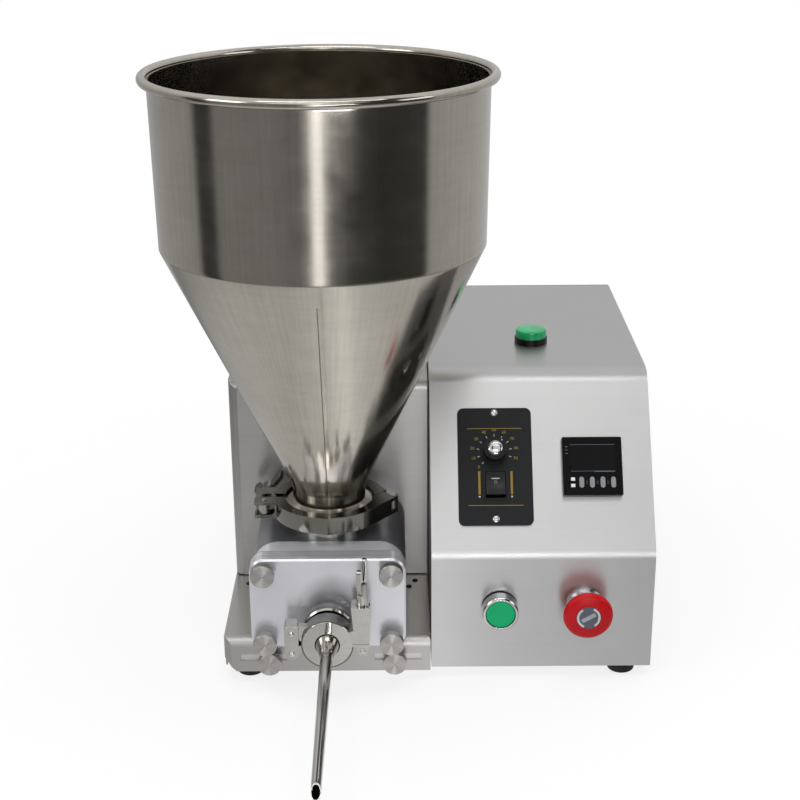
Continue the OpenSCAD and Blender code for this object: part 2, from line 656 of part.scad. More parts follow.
// --- clamp joints: flange faces meet a gasket at the joint plane ---
module ferrule(tube_r, flange_r, length) {
    back = (flange_r - tube_r) * tan(20);
    rotate_extrude() polygon([
        [tube_r - wall, 0], [tube_r, 0], [tube_r, length - flange_lip - back],
        [flange_r, length - flange_lip], [flange_r, length], [tube_r - wall, length]]);
}
module pump_ferrules() {
    color([0.75, 0.75, 0.75]) {
        foot = pump_z + pump_h / 2 - 6;
        translate([-pump_x, hopper_y, foot]) ferrule(neck_r, big_flange_r, joint_z - gasket_t / 2 - foot);
        translate([-pump_x, cover_y + 6, nozzle_z]) rotate([90, 0, 0])
            ferrule(small_tube_r, small_flange_r, cover_y + 6 - (joint_y + gasket_t / 2));
        translate([-pump_x, cover_y, nozzle_z]) rotate([90, 0, 0]) rotate_extrude() polygon([
            [small_tube_r - eps, 0], [collar_r, 0], [collar_r, collar_t - 1.2], [collar_r - 1.2, collar_t],
            [collar_r - 4, collar_t], [collar_r - 5.5, collar_t - 1.5], [small_tube_r - eps, collar_t - 1.5]]);
    }
}
module gasket_ring(tube_r, flange_r) {
    translate([0, 0, -gasket_t / 2]) difference() {
        cylinder(r = flange_r, h = gasket_t);
        translate([0, 0, -1]) cylinder(r = tube_r - wall, h = gasket_t + 2);
    }
}
module gaskets() {
    color([0.9, 0.9, 0.88]) {
        seal_rings();
        translate([-pump_x, hopper_y, joint_z]) gasket_ring(neck_r, big_flange_r);
        translate([-pump_x, joint_y, nozzle_z]) rotate([90, 0, 0]) gasket_ring(small_tube_r, small_flange_r);
    }
}

// A clamp in its own axes: z is the pipe's axis, the swing bolt is at -x and the hinge at +x.
// Fields: flange radius, lip radius, outside radius, bolt x, pivot y, lug top y, bolt radius, eye radius.
big_clamp = [big_flange_r, 36, 45, 52.7, -9, 16.6, 3, 4.2];
small_clamp = [small_flange_r, small_tube_r + 0.4, 20.3, 27.6, -6.4, 31.5, 2.3, 3.9];
flat_d = 14.7;                        // from the nozzle clamp's axis to its two lower flats
seat_drop = 4;                        // how far the wing nut sits down into its lug
ear = 4;                              // half thickness of a hinge tongue
hub_wall = 2.6;                       // the wing nut's wall round its bolt
hinge_pin = [51.3, -0.4];             // the hopper clamp's hinge
arm_turn = 51.35;                     // the way its straight arm runs
link_x = 28;                          // the nozzle clamp's link and its two rivets
link_pins = [-8.6, 9.1];
module clamp_cavity(c) {
    lip = 3.95 + (c[0] + 0.4 - c[1]) * tan(20);
    rotate_extrude() polygon([
        [0, -clamp_h], [c[1], -clamp_h], [c[1], -lip], [c[0] + 0.4, -3.95], [c[0] + 0.4, 3.95], [c[1], lip],
        [c[1], clamp_h], [0, clamp_h]]);
}
module clamp_slab(h = clamp_h) { linear_extrude(h, center = true) children(); }
// Gap with a round inner end that the swing bolt's eye turns in, open on the outside.
module eye_gap(c, inner) {
    gap = ear + 0.2;
    slab_y(-60, 1) {
        translate([inner - gap, 0]) circle(gap);
        translate([inner - gap - 40, -gap]) square([40, 2 * gap]);
    }
}
// Slot that the bolt swings into, and the round seat for its nut.
module bolt_slot(c) {
    box([-c[3] - 40, -1, -c[6] - 0.5], [-c[3] + c[6] + 0.5, 60, c[6] + 0.5]);
    translate([-c[3], 0, 0]) rod_y(c[6] + hub_wall + 0.4, c[5] - seat_drop, c[5] + 20);
}
module pivot_hole(c) { translate([-c[3], c[4], 0]) cylinder(r = 2, h = 40, center = true); }

module hopper_front_half() {
    difference() {
        clamp_slab() difference() {
            union() {
                circle(big_clamp[2]);
                polygon([[-14, -42.3], [0, -46.8], [14, -42.3]]);
                // block with the fork for the swing bolt
                polygon([[-60.5, -13], [-59.5, -14], [-41, -14], [-36, -1], [-60.5, -1]]);
                // straight arm to the hinge
                polygon([[30, -20], [34.36, -28.37], [54.96, -3.42], [51.3, 4.2], [40, 4.2], [34, -4]]);
                translate(hinge_pin) circle(5);
            }
            polygon([[-70, -3], [0, -3], [0, -0.4], [39, -0.4], [43.4, 5.1], [60, 5.1], [60, 60], [-70, 60]]);
        }
        clamp_cavity(big_clamp);
        eye_gap(big_clamp, -43.7);
        pivot_hole(big_clamp);
        // gap for the other half's tongue
        translate(hinge_pin) rotate(arm_turn) slab_y(-30, 30) {
            translate([-ear - 0.2, 0]) circle(ear + 0.2);
            translate([-ear - 0.2, -ear - 0.2]) square([30, 2 * ear + 0.4]);
        }
        translate(hinge_pin) cylinder(r = 2, h = 40, center = true);
    }
}
module hopper_rear_half() {
    difference() {
        union() {
            clamp_slab() difference() {
                union() {
                    circle(big_clamp[2]);
                    polygon([[-60.6, 3.4], [-30, 3.4], [-30, big_clamp[5]], [-60.6, big_clamp[5]]]);
                    polygon([[30, 12], [38, 0], [46.6, 9.7], [33.4, 29.5]]);
                }
                polygon([[-70, 3.4], [0, 3.4], [0, 0.2], [39.1, 0.2], [60, 26.7], [60, -60], [-70, -60]]);
            }
            // tongue to the hinge
            clamp_slab(2 * ear) {
                translate(hinge_pin) circle(4.6);
                translate(hinge_pin) rotate(arm_turn) translate([-4.6, 0]) square([9.2, 11]);
            }
        }
        clamp_cavity(big_clamp);
        bolt_slot(big_clamp);
        translate(hinge_pin) cylinder(r = 2, h = 40, center = true);
    }
}
module hinge_rivet(at, r) {
    translate(at) {
        cylinder(r = 2, h = clamp_h + 1, center = true);
        for (t = [-1, 1]) translate([0, 0, t * (clamp_h / 2 + 0.4)]) cylinder(r = r, h = 0.8, center = true);
    }
}

// Hinge tongue of one of the nozzle clamp's halves, from its rivet to the ring.
module hinge_tongue(y, s) {
    clamp_slab(2 * ear) {
        translate([link_x, y]) circle(4.4);
        polygon(s < 0
            ? [[link_x, y + 4.3], [link_x, y - 4.3], [18, -7.6], [14, -5.8], [15, -1.2]]
            : [[link_x, y - 4.3], [link_x, y + 4.3], [15, 13], [16, 1.2]]);
    }
}
module nozzle_lower_half() {
    difference() {
        union() {
            // the two lower flats meet in a point under the pipe
            clamp_slab() polygon([
                [small_clamp[2], -0.2], [small_clamp[2], small_clamp[2] - flat_d * sqrt(2)],
                [0, -flat_d * sqrt(2)],
                [-small_clamp[2], small_clamp[2] - flat_d * sqrt(2)], [-small_clamp[2], -0.2]]);
            // strap that tapers down to the swing bolt's pivot
            clamp_slab(clamp_h + 1) {
                polygon([
                    [-16, -0.2], [-16, -2.2], [-21.8, -2.2], [-23.6, -7.4], [-31.7, -6.4], [-32.8, -0.2]]);
                translate([-small_clamp[3], small_clamp[4]]) circle(4.1);
            }
            hinge_tongue(link_pins[0], -1);
        }
        clamp_cavity(small_clamp);
        eye_gap(small_clamp, -20.9);
        pivot_hole(small_clamp);
        translate([link_x, link_pins[0], 0]) cylinder(r = 2, h = 30, center = true);
    }
}
module nozzle_upper_half() {
    difference() {
        union() {
            clamp_slab() difference() {
                circle(small_clamp[2]);
                translate([-50, -50]) square([100, 50.2]);
            }
            // strap that widens up to the wing nut's seat
            clamp_slab(clamp_h + 1) polygon([
                [-15, 0.1], [-15, 10], [-20.4, 12], [-18.8, small_clamp[5]],
                [-33.6, small_clamp[5]], [-33.2, 0.1]]);
            hinge_tongue(link_pins[1], 1);
        }
        clamp_cavity(small_clamp);
        bolt_slot(small_clamp);
        translate([link_x, link_pins[1], 0]) cylinder(r = 2, h = 30, center = true);
    }
}
module nozzle_clamp_link() {
    difference() {
        clamp_slab() translate([link_x, 0]) {
            polygon([[-5.5, -7.5], [5.5, -7.5], [5.5, 14.3], [4.5, 15.3], [-4.5, 15.3], [-5.5, 14.3]]);
            translate([0, -7.5]) circle(5.5);
        }
        // pocket for the two tongues, open towards the pipe
        box([link_x - 20, -20, -ear - 0.2], [link_x + 4.7, 13.9, ear + 0.2]);
    }
}
module swing_bolt(c) {
    translate([-c[3], c[4], 0]) {
        difference() {
            union() {
                cylinder(r = c[7], h = 2 * ear - 0.2, center = true);
                rod_y(c[6], 0, c[5] - seat_drop - c[4] + 16);
            }
            cylinder(r = 2.05, h = 20, center = true);
        }
        cylinder(r = 2, h = clamp_h + 1.4, center = true);
    }
}
// Wing nut on a bolt that stands along +y; its foot is at y = 0.
wing_span = 13.6;
module wing_nut(bolt_r) {
    hub = bolt_r + hub_wall;
    difference() {
        union() {
            rod_y(hub, 0, 10);
            rod_y(hub, 10, 22, hub - 1);
            for (s = [-1, 1]) wing(s);
        }
        rod_y(bolt_r + fit, -1, 30);
    }
}
module wing(s) {
    translate([0, 0, -1.6]) linear_extrude(3.2) rounded([
        [s * 3, 12], [s * 8, 15], [s * wing_span, 23], [s * wing_span, 38.5], [s * 8.4, 38.5], [s * 3, 22]],
        [0, 3, 3, 2.5, 2.5, 0]);
}
module at_hopper_clamp() { translate([-pump_x, hopper_y, joint_z]) children(); }
module at_nozzle_clamp() { translate([-pump_x, joint_y, nozzle_z]) rotate([90, 0, 180]) children(); }
steel = [0.60, 0.59, 0.55];
module hopper_clamp_front() { color(steel) at_hopper_clamp() hopper_front_half(); }
module hopper_clamp_rear() { color(steel) at_hopper_clamp() hopper_rear_half(); }
module nozzle_clamp_lower() { color(steel) at_nozzle_clamp() nozzle_lower_half(); }
module nozzle_clamp_upper() { color(steel) at_nozzle_clamp() nozzle_upper_half(); }
module clamp_hinges() {
    color([0.66, 0.65, 0.62]) {
        at_hopper_clamp() hinge_rivet(hinge_pin, 3.2);
        at_nozzle_clamp() {
            nozzle_clamp_link();
            for (y = link_pins) hinge_rivet([link_x, y, 0], 2.4);
        }
    }
}
module swing_bolts() {
    color([0.62, 0.62, 0.6]) {
        at_hopper_clamp() swing_bolt(big_clamp);
        at_nozzle_clamp() swing_bolt(small_clamp);
    }
}
module wing_nut_of(c, turn) {
    translate([-c[3], c[5] - seat_drop + 0.05, 0]) rotate([0, turn, 0]) wing_nut(c[6]);
}
module hopper_wing_nut() { color([0.5, 0.49, 0.45]) at_hopper_clamp() wing_nut_of(big_clamp, -33); }
module nozzle_wing_nut() { color([0.5, 0.49, 0.45]) at_nozzle_clamp() wing_nut_of(small_clamp, 80); }

// --- nozzle: clamp flange, short cone and long tapered tube with a slanting end ---
cone_end = 25;                        // the cone's length from the joint plane
module nozzle() {
    length = nozzle_reach + joint_y;
    back = (small_flange_r - small_tube_r) * tan(20);
    bore_r = small_tube_r - wall;
    start = gasket_t / 2;
    color([0.70, 0.70, 0.68]) translate([-pump_x, joint_y, nozzle_z]) rotate([90, 0, 0]) difference() {
        rotate_extrude() polygon([
            [0, start], [small_flange_r, start], [small_flange_r, start + flange_lip],
            [small_tube_r, start + flange_lip + back], [small_tube_r, 8], [tube_root_r + 0.4, cone_end],
            [tube_root_r, cone_end + 1], [tube_tip_r, length], [0, length]]);
        rotate_extrude() polygon([
            [0, start - 1], [bore_r, start - 1], [bore_r, 8], [tube_bore_r, cone_end + 1],
            [tube_bore_r, length + 1],
            [0, length + 1]]);
        // slanting cut: the point of the tip is at the bottom
        translate([0, -tube_tip_r, length]) rotate([tip_cut - 90, 0, 0]) translate([-20, -20, 0])
            cube([40, 80, 40]);
    }
}

// --- controls on the sloped panel ---
rocker_at = [0, -15.3];               // from the middle of the controller's plate
knob_at = [-0.4, 12.1];
module controller_plate() {
    color([0.12, 0.12, 0.12]) on_panel(ctrl_pos) difference() {
        union() {
            linear_extrude(2) round_rect(ctrl_size[0], ctrl_size[1], 5);
            translate([rocker_at[0], rocker_at[1], 0]) linear_extrude(3) round_rect(21, 25, 1);
        }
        translate([rocker_at[0] - 8.2, rocker_at[1] - 11, -1]) cube([16.4, 22, 6]);
        translate([knob_at[0], knob_at[1], -1]) cylinder(r = 3.6, h = 5);
    }
}
module controller_case() {
    color([0.1, 0.1, 0.1]) on_panel(ctrl_pos) {
        difference() {
            translate([-25, -39, -70]) cube([50, 78, 70]);
            translate([rocker_at[0] - 9.2, rocker_at[1] - 12, -14]) cube([18.4, 24, 15]);
            translate([-25, 24, -40]) translate([-1, 0, 0]) cube([4, 16, 41]);
        }
        // potentiometer spindle
        translate([knob_at[0], knob_at[1], -1]) cylinder(r = 3, h = 13);
    }
}
module speed_knob() {
    color([0.06, 0.06, 0.06]) on_panel(ctrl_pos + knob_at) difference() {
        union() {
            translate([0, 0, 2.4]) cylinder(r = 10.6, h = 1.6);
            translate([0, 0, 3]) linear_extrude(12) difference() {
                circle(9.4);
                for (k = [0 : 17]) rotate(k * 20 + 10) translate([9.9, 0]) circle(0.9);
            }
            translate([0, 0, 14]) cylinder(r = 7.8, h = 2);
        }
        translate([0, 0, 1]) cylinder(r = 3 + fit, h = 12);
    }
}
rocker_tilt = 8;
rocker_axis = -2.2;                   // its trunnions' height from the panel
module run_rocker() {
    color([0.05, 0.05, 0.05]) on_panel(ctrl_pos + rocker_at) translate([0, 0, rocker_axis])
        rotate([-rocker_tilt, 0, 0]) rotate([90, 0, 90]) {
            linear_extrude(15.6, center = true) translate([0, -rocker_axis])
                polygon([[-9.8, 4.6], [0, 3.1], [9.8, 4.6], [8.6, -4.6], [0, -7], [-8.6, -4.6]]);
            cylinder(r = 1.5, h = 18, center = true);
        }
}

key_u = [-9.2, -0.7, 7.8, 16.3];
key_v = -13.5;
small_u = -16.1;
small_v = [-10.8, -16];
bezel_t = 6;
module timer_case() {
    color([0.09, 0.09, 0.09]) on_panel(timer_pos) difference() {
        union() {
            linear_extrude(bezel_t) round_rect(timer_w, timer_w, 1.2);
            translate([-22.2, -22.2, -58]) cube([44.4, 44.4, 58 + eps]);
        }
        translate([0.6, 6.9, bezel_t - 1]) linear_extrude(3) square([36.4, 21.4], center = true);
        for (u = key_u) translate([u, key_v, bezel_t - 4]) linear_extrude(6) pill(4.4, 9.8);
        for (v = small_v) translate([small_u, v, bezel_t - 4]) linear_extrude(6) square([4, 3.4], center = true);
    }
}
module timer_window() {
    color([0.02, 0.02, 0.03]) on_panel(timer_pos) translate([0.6, 6.9, bezel_t - 1])
        linear_extrude(0.8) square([36.2, 21.2], center = true);
}
module timer_key(i) {
    color([0.45, 0.46, 0.47]) on_panel(timer_pos) translate([key_u[i], key_v, bezel_t]) {
        translate([0, 0, -2.4]) linear_extrude(3.2) pill(3.8, 9);
        translate([-2.1, 0, -1.4]) rotate([0, 90, 0]) cylinder(r = 0.6, h = 4.2);
    }
}
module timer_button(i) {
    color([0.85, 0.85, 0.85]) on_panel(timer_pos) translate([small_u, small_v[i], bezel_t - 3])
        linear_extrude(3.5) square([3.4, 2.8], center = true);
}
module timer_button_1() { timer_button(0); }
module timer_button_2() { timer_button(1); }
module timer_key_1() { timer_key(0); }
module timer_key_2() { timer_key(1); }
module timer_key_3() { timer_key(2); }
module timer_key_4() { timer_key(3); }

// --- push buttons on the lower front ---
start_h = 14;
module switch_body(tail) {
    translate([0, 0, -30]) cylinder(r = 11, h = 30 + eps);
    translate([0, 0, -sheet - 4]) cylinder(r = 14, h = 4);
    translate([-15, -15, -30 - tail]) cube([30, 30, tail]);
}
module start_bezel() {
    color([0.75, 0.75, 0.75]) on_front(start_pos) difference() {
        union() {
            rotate_extrude() polygon([
                [0, 0], [start_d / 2 - 0.8, 0], [start_d / 2 - 0.8, 3], [start_d / 2, 3.6],
                [start_d / 2, start_h - 1.2], [start_d / 2 - 1.2, start_h], [0, start_h]]);
            switch_body(28);
        }
        translate([0, 0, start_h - 8]) cylinder(r = 12, h = 10);
        translate([0, 0, -26]) cylinder(r = 8 + run, h = 40);
    }
}
module start_button() {
    color([0.05, 0.62, 0.35]) on_front(start_pos) rotate_extrude() polygon([
        [0, -18], [8, -18], [8, start_h - 4.6], [11.7, start_h - 4.6], [11.7, start_h - 0.9],
        [11.2, start_h - 0.4], [0, start_h - 0.2]]);
}
module stop_collar() {
    color([0.75, 0.75, 0.75]) on_front(stop_pos) difference() {
        union() {
            rotate_extrude() polygon([[0, 0], [15, 0], [15, 2.5], [13.4, 6], [0, 6]]);
            switch_body(28);
        }
        translate([0, 0, -26]) cylinder(r = 6.5 + run, h = 40);
    }
}
stop_face = 24;
module stop_stem() {
    color([0.7, 0.7, 0.7]) on_front(stop_pos) translate([0, 0, -18]) cylinder(r = 6.5, h = 18 + stop_face - 4);
}
module stop_head() {
    color([0.8, 0.05, 0.06]) on_front(stop_pos) difference() {
        rotate_extrude() polygon([
            [0, 11.5], [10, 11.5], [stop_d / 2 - 2.4, 15.6], [stop_d / 2 - 0.4, 17.4], [stop_d / 2, 19.2],
            [stop_d / 2 - 0.6, 21], [stop_d / 2 - 3, 22.6], [11, stop_face], [10, stop_face],
            [9.8, stop_face - 0.5], [0, stop_face - 0.5]]);
        cylinder(r = 6.5 + fit, h = stop_face - 3.9);
    }
}
module signal_lamp() {
    color([0.05, 0.55, 0.35]) translate([lamp_pos[0], lamp_pos[1], cab_top]) {
        rotate_extrude() polygon([
            [0, 0], [14, 0], [14, 5.4], [13.4, 6.4], [13.4, 10.4], [12.6, 12], [9, 13], [0, 13.4]]);
        translate([0, 0, -26]) cylinder(r = 11, h = 26 + eps);
        translate([0, 0, -sheet - 4]) cylinder(r = 13.6, h = 4);
    }
}

place() floor_pans();
place() rubber_feet();
place() base_tray();
place() drive_housing();
place() control_cabinet();
place() drive_rear_cover();
place() cabinet_rear_cover();
place() power_inlet();
place() pump_body();
place() bearing_plate();
place() front_cover();
place() pump_ferrules();
place() cover_studs();
place() cover_nut_1();
place() cover_nut_2();
place() cover_nut_3();
place() cover_nut_4();
place() pump_foot();
place() lock_nut_1();
place() lock_nut_2();
place() drive_shafts();
place() drive_rotor();
place() idler_shaft();
place() idler_rotor();
place() shaft_bushes();
place() shaft_seal();
place() coupling_hubs();
place() coupling_spider();
place() gearhead();
place() drive_motor();
place() motor_bracket();
place() hopper();
place() gaskets();
place() hopper_clamp_front();
place() hopper_clamp_rear();
place() nozzle_clamp_upper();
place() nozzle_clamp_lower();
place() clamp_hinges();
place() swing_bolts();
place() hopper_wing_nut();
place() nozzle_wing_nut();
place() nozzle();
place() controller_plate();
place() controller_case();
place() speed_knob();
place() run_rocker();
place() timer_case();
place() timer_window();
place() timer_key_1();
place() timer_key_2();
place() timer_key_3();
place() timer_key_4();
place() timer_button_1();
place() timer_button_2();
place() start_bezel();
place() start_button();
place() stop_collar();
place() stop_stem();
place() stop_head();
place() signal_lamp();
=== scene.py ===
"""Finishes a counter-top filling machine: hopper, gear pump, clamps, nozzle and control cabinet."""

import logging
import math
from dataclasses import dataclass, replace
from enum import Enum
from typing import Sequence

import bpy
from mathutils import Matrix, Vector


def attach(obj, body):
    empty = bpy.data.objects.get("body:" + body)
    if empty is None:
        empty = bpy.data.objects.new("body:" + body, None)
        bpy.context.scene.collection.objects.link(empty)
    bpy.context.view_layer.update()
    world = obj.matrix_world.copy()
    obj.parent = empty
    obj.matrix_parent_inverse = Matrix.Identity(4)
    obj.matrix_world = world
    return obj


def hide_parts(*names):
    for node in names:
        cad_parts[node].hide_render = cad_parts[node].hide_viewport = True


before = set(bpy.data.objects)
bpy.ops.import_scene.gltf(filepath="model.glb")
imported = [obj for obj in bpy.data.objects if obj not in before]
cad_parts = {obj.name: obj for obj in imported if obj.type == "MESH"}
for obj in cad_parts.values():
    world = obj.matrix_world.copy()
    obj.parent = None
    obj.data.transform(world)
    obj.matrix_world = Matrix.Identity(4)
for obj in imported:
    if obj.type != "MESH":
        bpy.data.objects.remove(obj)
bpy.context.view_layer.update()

LOG = logging.getLogger("filling_machine")
MM = 0.001

Piece = bpy.types.Object
Socket = bpy.types.NodeSocket
Material = bpy.types.Material
Profile = Sequence[tuple[float, float]]


# --------------------------------------------------------------------------- places
# Machine axes in millimetres: x from the cabinet's left wall, y from its lower front
# face, z from the counter. The frame's origin is the middle of the footprint.
FRAME_X, FRAME_Y = -18.7, 47.75
PUMP_X, PUMP_Z = -82.3, 78.5
HOPPER_Y, HOPPER_JOINT_Z = 47.0, 136.5
NOZZLE_JOINT_Y, NOZZLE_Z = -37.0, 56.5
COVER_Y = -18.5
PANEL_FOOT_Z, PANEL_TILT = 111.0, math.atan2(124.0, 90.0)
CABINET_TOP, CABINET_W = 235.0, 179.0
REAR_FACE = 336.5


def place(x: float, y: float, z: float) -> Vector:
    """Turns a place in machine axes, in millimetres, into the frame's metres."""
    return Vector(((x - FRAME_X) * MM, (y - FRAME_Y) * MM, z * MM))


class Facing(Enum):
    """Which way a piece's own z axis points, as its turn about the machine's x axis."""

    UP = 0.0
    FRONT = math.pi / 2
    BACK = -math.pi / 2
    PANEL = PANEL_TILT

    def at(self, x: float, y: float, z: float) -> Matrix:
        """Gives the transform of a piece that faces this way at a place in machine axes."""
        return Matrix.Translation(place(x, y, z)) @ Matrix.Rotation(self.value, 4, "X")


def on_panel(u: float, v: float, w: float = 0.0) -> Matrix:
    """Gives the transform of a piece on the sloped panel: u across, v up the slope, w out of it."""
    c, s = math.cos(PANEL_TILT), math.sin(PANEL_TILT)
    return Facing.PANEL.at(u, v * c - w * s, PANEL_FOOT_Z + v * s + w * c)


def spun(degrees: float) -> Matrix:
    """Gives a turn about a piece's own z axis."""
    return Matrix.Rotation(math.radians(degrees), 4, "Z")


def tipped(degrees: float) -> Matrix:
    """Gives a turn about a piece's own x axis."""
    return Matrix.Rotation(math.radians(degrees), 4, "X")


def shifted(x: float, y: float, z: float) -> Matrix:
    """Gives a shift in millimetres along a piece's own axes."""
    return Matrix.Translation((x * MM, y * MM, z * MM))


# --------------------------------------------------------------------------- mesh tools
MERGE_MM = 0.01  # points of a new piece that are closer than this are one
SOLID_MERGE_MM = 0.002  # the same on a copy of a CAD solid
SHARP_DEG = 30.0  # edges sharper than this are rounded


def deselect() -> None:
    """Leaves object mode with nothing selected."""
    if bpy.context.object and bpy.context.object.mode != "OBJECT":
        bpy.ops.object.mode_set(mode="OBJECT")
    bpy.ops.object.select_all(action="DESELECT")


def take(piece: Piece) -> None:
    """Makes one object the only selected and active one.

    Args:
        piece: The object.
    """
    deselect()
    piece.select_set(True)
    bpy.context.view_layer.objects.active = piece


def edit(piece: Piece) -> None:
    """Opens a piece in edit mode with all of it selected.

    Args:
        piece: The mesh object.
    """
    take(piece)
    bpy.ops.object.mode_set(mode="EDIT")
    bpy.ops.mesh.select_all(action="SELECT")


def close() -> None:
    """Goes back to object mode."""
    bpy.ops.object.mode_set(mode="OBJECT")


def extrude(x: float, y: float, z: float, edges: bool = False) -> None:
    """Extrudes what is selected by that many millimetres, as a face or as bare edges."""
    operator = bpy.ops.mesh.extrude_edges_move if edges else bpy.ops.mesh.extrude_region_move
    operator(TRANSFORM_OT_translate={"value": (x * MM, y * MM, z * MM)})


def settle(piece: Piece, transform: Matrix | None = None) -> Piece:
    """Bakes a piece's place into its mesh, so that its object sits at the origin.

    Args:
        piece: The mesh object.
        transform: Where the piece goes, on top of its own transform.

    Returns:
        The same object.
    """
    take(piece)
    if transform is not None:
        piece.matrix_world = transform @ piece.matrix_world
        bpy.context.view_layer.update()
    bpy.ops.object.transform_apply(location=True, rotation=True, scale=True)
    return piece


def outward(piece: Piece) -> None:
    """Merges a piece's doubles and turns all its faces outwards.

    Args:
        piece: The mesh object.
    """
    edit(piece)
    bpy.ops.mesh.remove_doubles(threshold=MERGE_MM * MM)
    bpy.ops.mesh.normals_make_consistent(inside=False)
    close()


def finish_modifiers(piece: Piece) -> None:
    """Applies every modifier of a piece, in order.

    Args:
        piece: The mesh object.
    """
    take(piece)
    for modifier in list(piece.modifiers):
        bpy.ops.object.modifier_apply(modifier=modifier.name)


def soften(piece: Piece, width: float, segments: int = 2) -> None:
    """Rounds a piece's sharp edges and shades it smooth, with its large flat faces kept flat.

    Args:
        piece: The mesh object.
        width: The bevel's width in millimetres, or 0 for none.
        segments: Faces across each bevel.
    """
    if width > 0:
        bevel = piece.modifiers.new("Bevel", "BEVEL")
        bevel.width = width * MM
        bevel.segments = segments
        bevel.limit_method = "ANGLE"
        bevel.angle_limit = math.radians(SHARP_DEG)
        bevel.use_clamp_overlap = True
        finish_modifiers(piece)
    take(piece)
    bpy.ops.object.shade_smooth_by_angle(angle=math.radians(SHARP_DEG + 5))
    even = piece.modifiers.new("Even", "WEIGHTED_NORMAL")
    even.keep_sharp = True
    even.weight = 80
    finish_modifiers(piece)


def set_down(piece: Piece, transform: Matrix, bevel: float = 0.0) -> Piece:
    """Closes a new shape, puts it in its place and smooths it.

    Args:
        piece: The new shape, on its own axes.
        transform: Where the piece goes.
        bevel: Rounding of its edges in millimetres.

    Returns:
        The same object.
    """
    outward(piece)
    settle(piece, transform)
    soften(piece, bevel)
    return piece


def named(name: str) -> Piece:
    """Names the newest object and its mesh.

    Args:
        name: The piece's name.

    Returns:
        The object.
    """
    piece = bpy.context.object
    piece.name = name
    piece.data.name = name
    return piece


def lathe(name: str, profile: Profile, transform: Matrix, steps: int = 64, closed: bool = False) -> Piece:
    """Turns a profile about its own z axis, one extruded ring after another.

    Args:
        name: The piece's name.
        profile: Pairs of radius and height in millimetres, from the first ring to the last.
        transform: Where the piece goes.
        steps: Points around each ring.
        closed: Whether the last ring joins the first, as in a tube with a wall.

    Returns:
        The turned piece.
    """
    deselect()
    last_r, last_h = profile[0]
    bpy.ops.mesh.primitive_circle_add(vertices=steps, radius=last_r * MM, location=(0, 0, last_h * MM),
                                      fill_type="NOTHING" if closed else "NGON")
    piece = settle(named(name))
    edit(piece)
    for radius, height in list(profile[1:]) + ([profile[0]] if closed else []):
        extrude(0, 0, height - last_h, closed)
        if radius != last_r:
            ratio = radius / last_r
            bpy.ops.transform.resize(value=(ratio, ratio, 1.0), center_override=(0, 0, height * MM))
        last_r, last_h = radius, height
    close()
    return set_down(piece, transform)


def plate(name: str, width: float, height: float, corner: float, thick: float,
          transform: Matrix, bevel: float = 0.0, segments: int = 6) -> Piece:
    """Makes a plate with round corners that stands on its own x-y plane.

    Args:
        name: The piece's name.
        width: Size along its own x, in millimetres.
        height: Size along its own y.
        corner: Radius of the corners.
        thick: Size along its own z.
        transform: Where the piece goes.
        bevel: Rounding of the edges.
        segments: Faces around each corner.

    Returns:
        The plate.
    """
    deselect()
    bpy.ops.mesh.primitive_plane_add(size=1.0)
    piece = named(name)
    piece.scale = (width * MM, height * MM, 1.0)
    edit(settle(piece))
    if corner > 0:
        bpy.ops.mesh.bevel(offset=corner * MM, segments=segments, affect="VERTICES")
        bpy.ops.mesh.select_all(action="SELECT")
    extrude(0, 0, thick)
    close()
    return set_down(piece, transform, bevel)


def screw(name: str, radius: float, height: float, transform: Matrix, slots: int = 2) -> Piece:
    """Makes a domed screw head with a driven cross or a single slot.

    Args:
        name: The piece's name.
        radius: The head's radius in millimetres.
        height: The head's height.
        transform: Where the head goes; its own z points out of the surface.
        slots: 2 for a cross recess, 1 for a plain slot.

    Returns:
        The screw head.
    """
    head = lathe(name, [(radius, 0), (radius, height * 0.35), (radius * 0.93, height * 0.62),
                        (radius * 0.75, height * 0.85), (radius * 0.4, height)], Matrix.Identity(4), 32)
    for turn in range(slots):
        cut = plate("cut", radius * 1.25, radius * 0.28, 0, height,
                    spun(turn * 90) @ shifted(0, 0, height * 0.45))
        boolean = head.modifiers.new("Cut", "BOOLEAN")
        boolean.operation = "DIFFERENCE"
        boolean.solver = "EXACT"
        boolean.object = cut
        finish_modifiers(head)
        bpy.data.objects.remove(cut)
    return settle(head, transform)


def skin(node: str, name: str, bevel: float, segments: int = 2) -> Piece:
    """Makes a rounded copy of a CAD node's solid.

    Args:
        node: The CAD node.
        name: The new piece's name.
        bevel: Rounding of its edges in millimetres.
        segments: Faces across each rounding.

    Returns:
        The copy.
    """
    piece = bpy.data.objects.new(name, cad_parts[node].data.copy())
    bpy.context.scene.collection.objects.link(piece)
    piece.data.name = name
    edit(piece)
    bpy.ops.mesh.remove_doubles(threshold=SOLID_MERGE_MM * MM)
    bpy.ops.mesh.dissolve_limited(angle_limit=math.radians(0.3))
    close()
    soften(piece, bevel, segments)
    return piece


def copy_of(piece: Piece, name: str, transform: Matrix) -> Piece:
    """Copies a piece with its own mesh and moves the copy.

    Args:
        piece: The piece to copy.
        name: The copy's name.
        transform: Where the copy goes.

    Returns:
        The copy.
    """
    twin = piece.copy()
    twin.data = piece.data.copy()
    twin.name = name
    twin.data.name = name
    bpy.context.scene.collection.objects.link(twin)
    return settle(twin, transform)


# --------------------------------------------------------------------------- finishes
def linear(hex_code: str) -> tuple[float, float, float, float]:
    """Turns an sRGB hex colour into Blender's linear colour.

    Args:
        hex_code: The colour, as #RRGGBB.

    Returns:
        Linear red, green and blue, and an alpha of 1.
    """
    parts = [int(hex_code[i:i + 2], 16) / 255 for i in (1, 3, 5)]
    r, g, b = [p / 12.92 if p <= 0.04045 else ((p + 0.055) / 1.055) ** 2.4 for p in parts]
    return (r, g, b, 1.0)


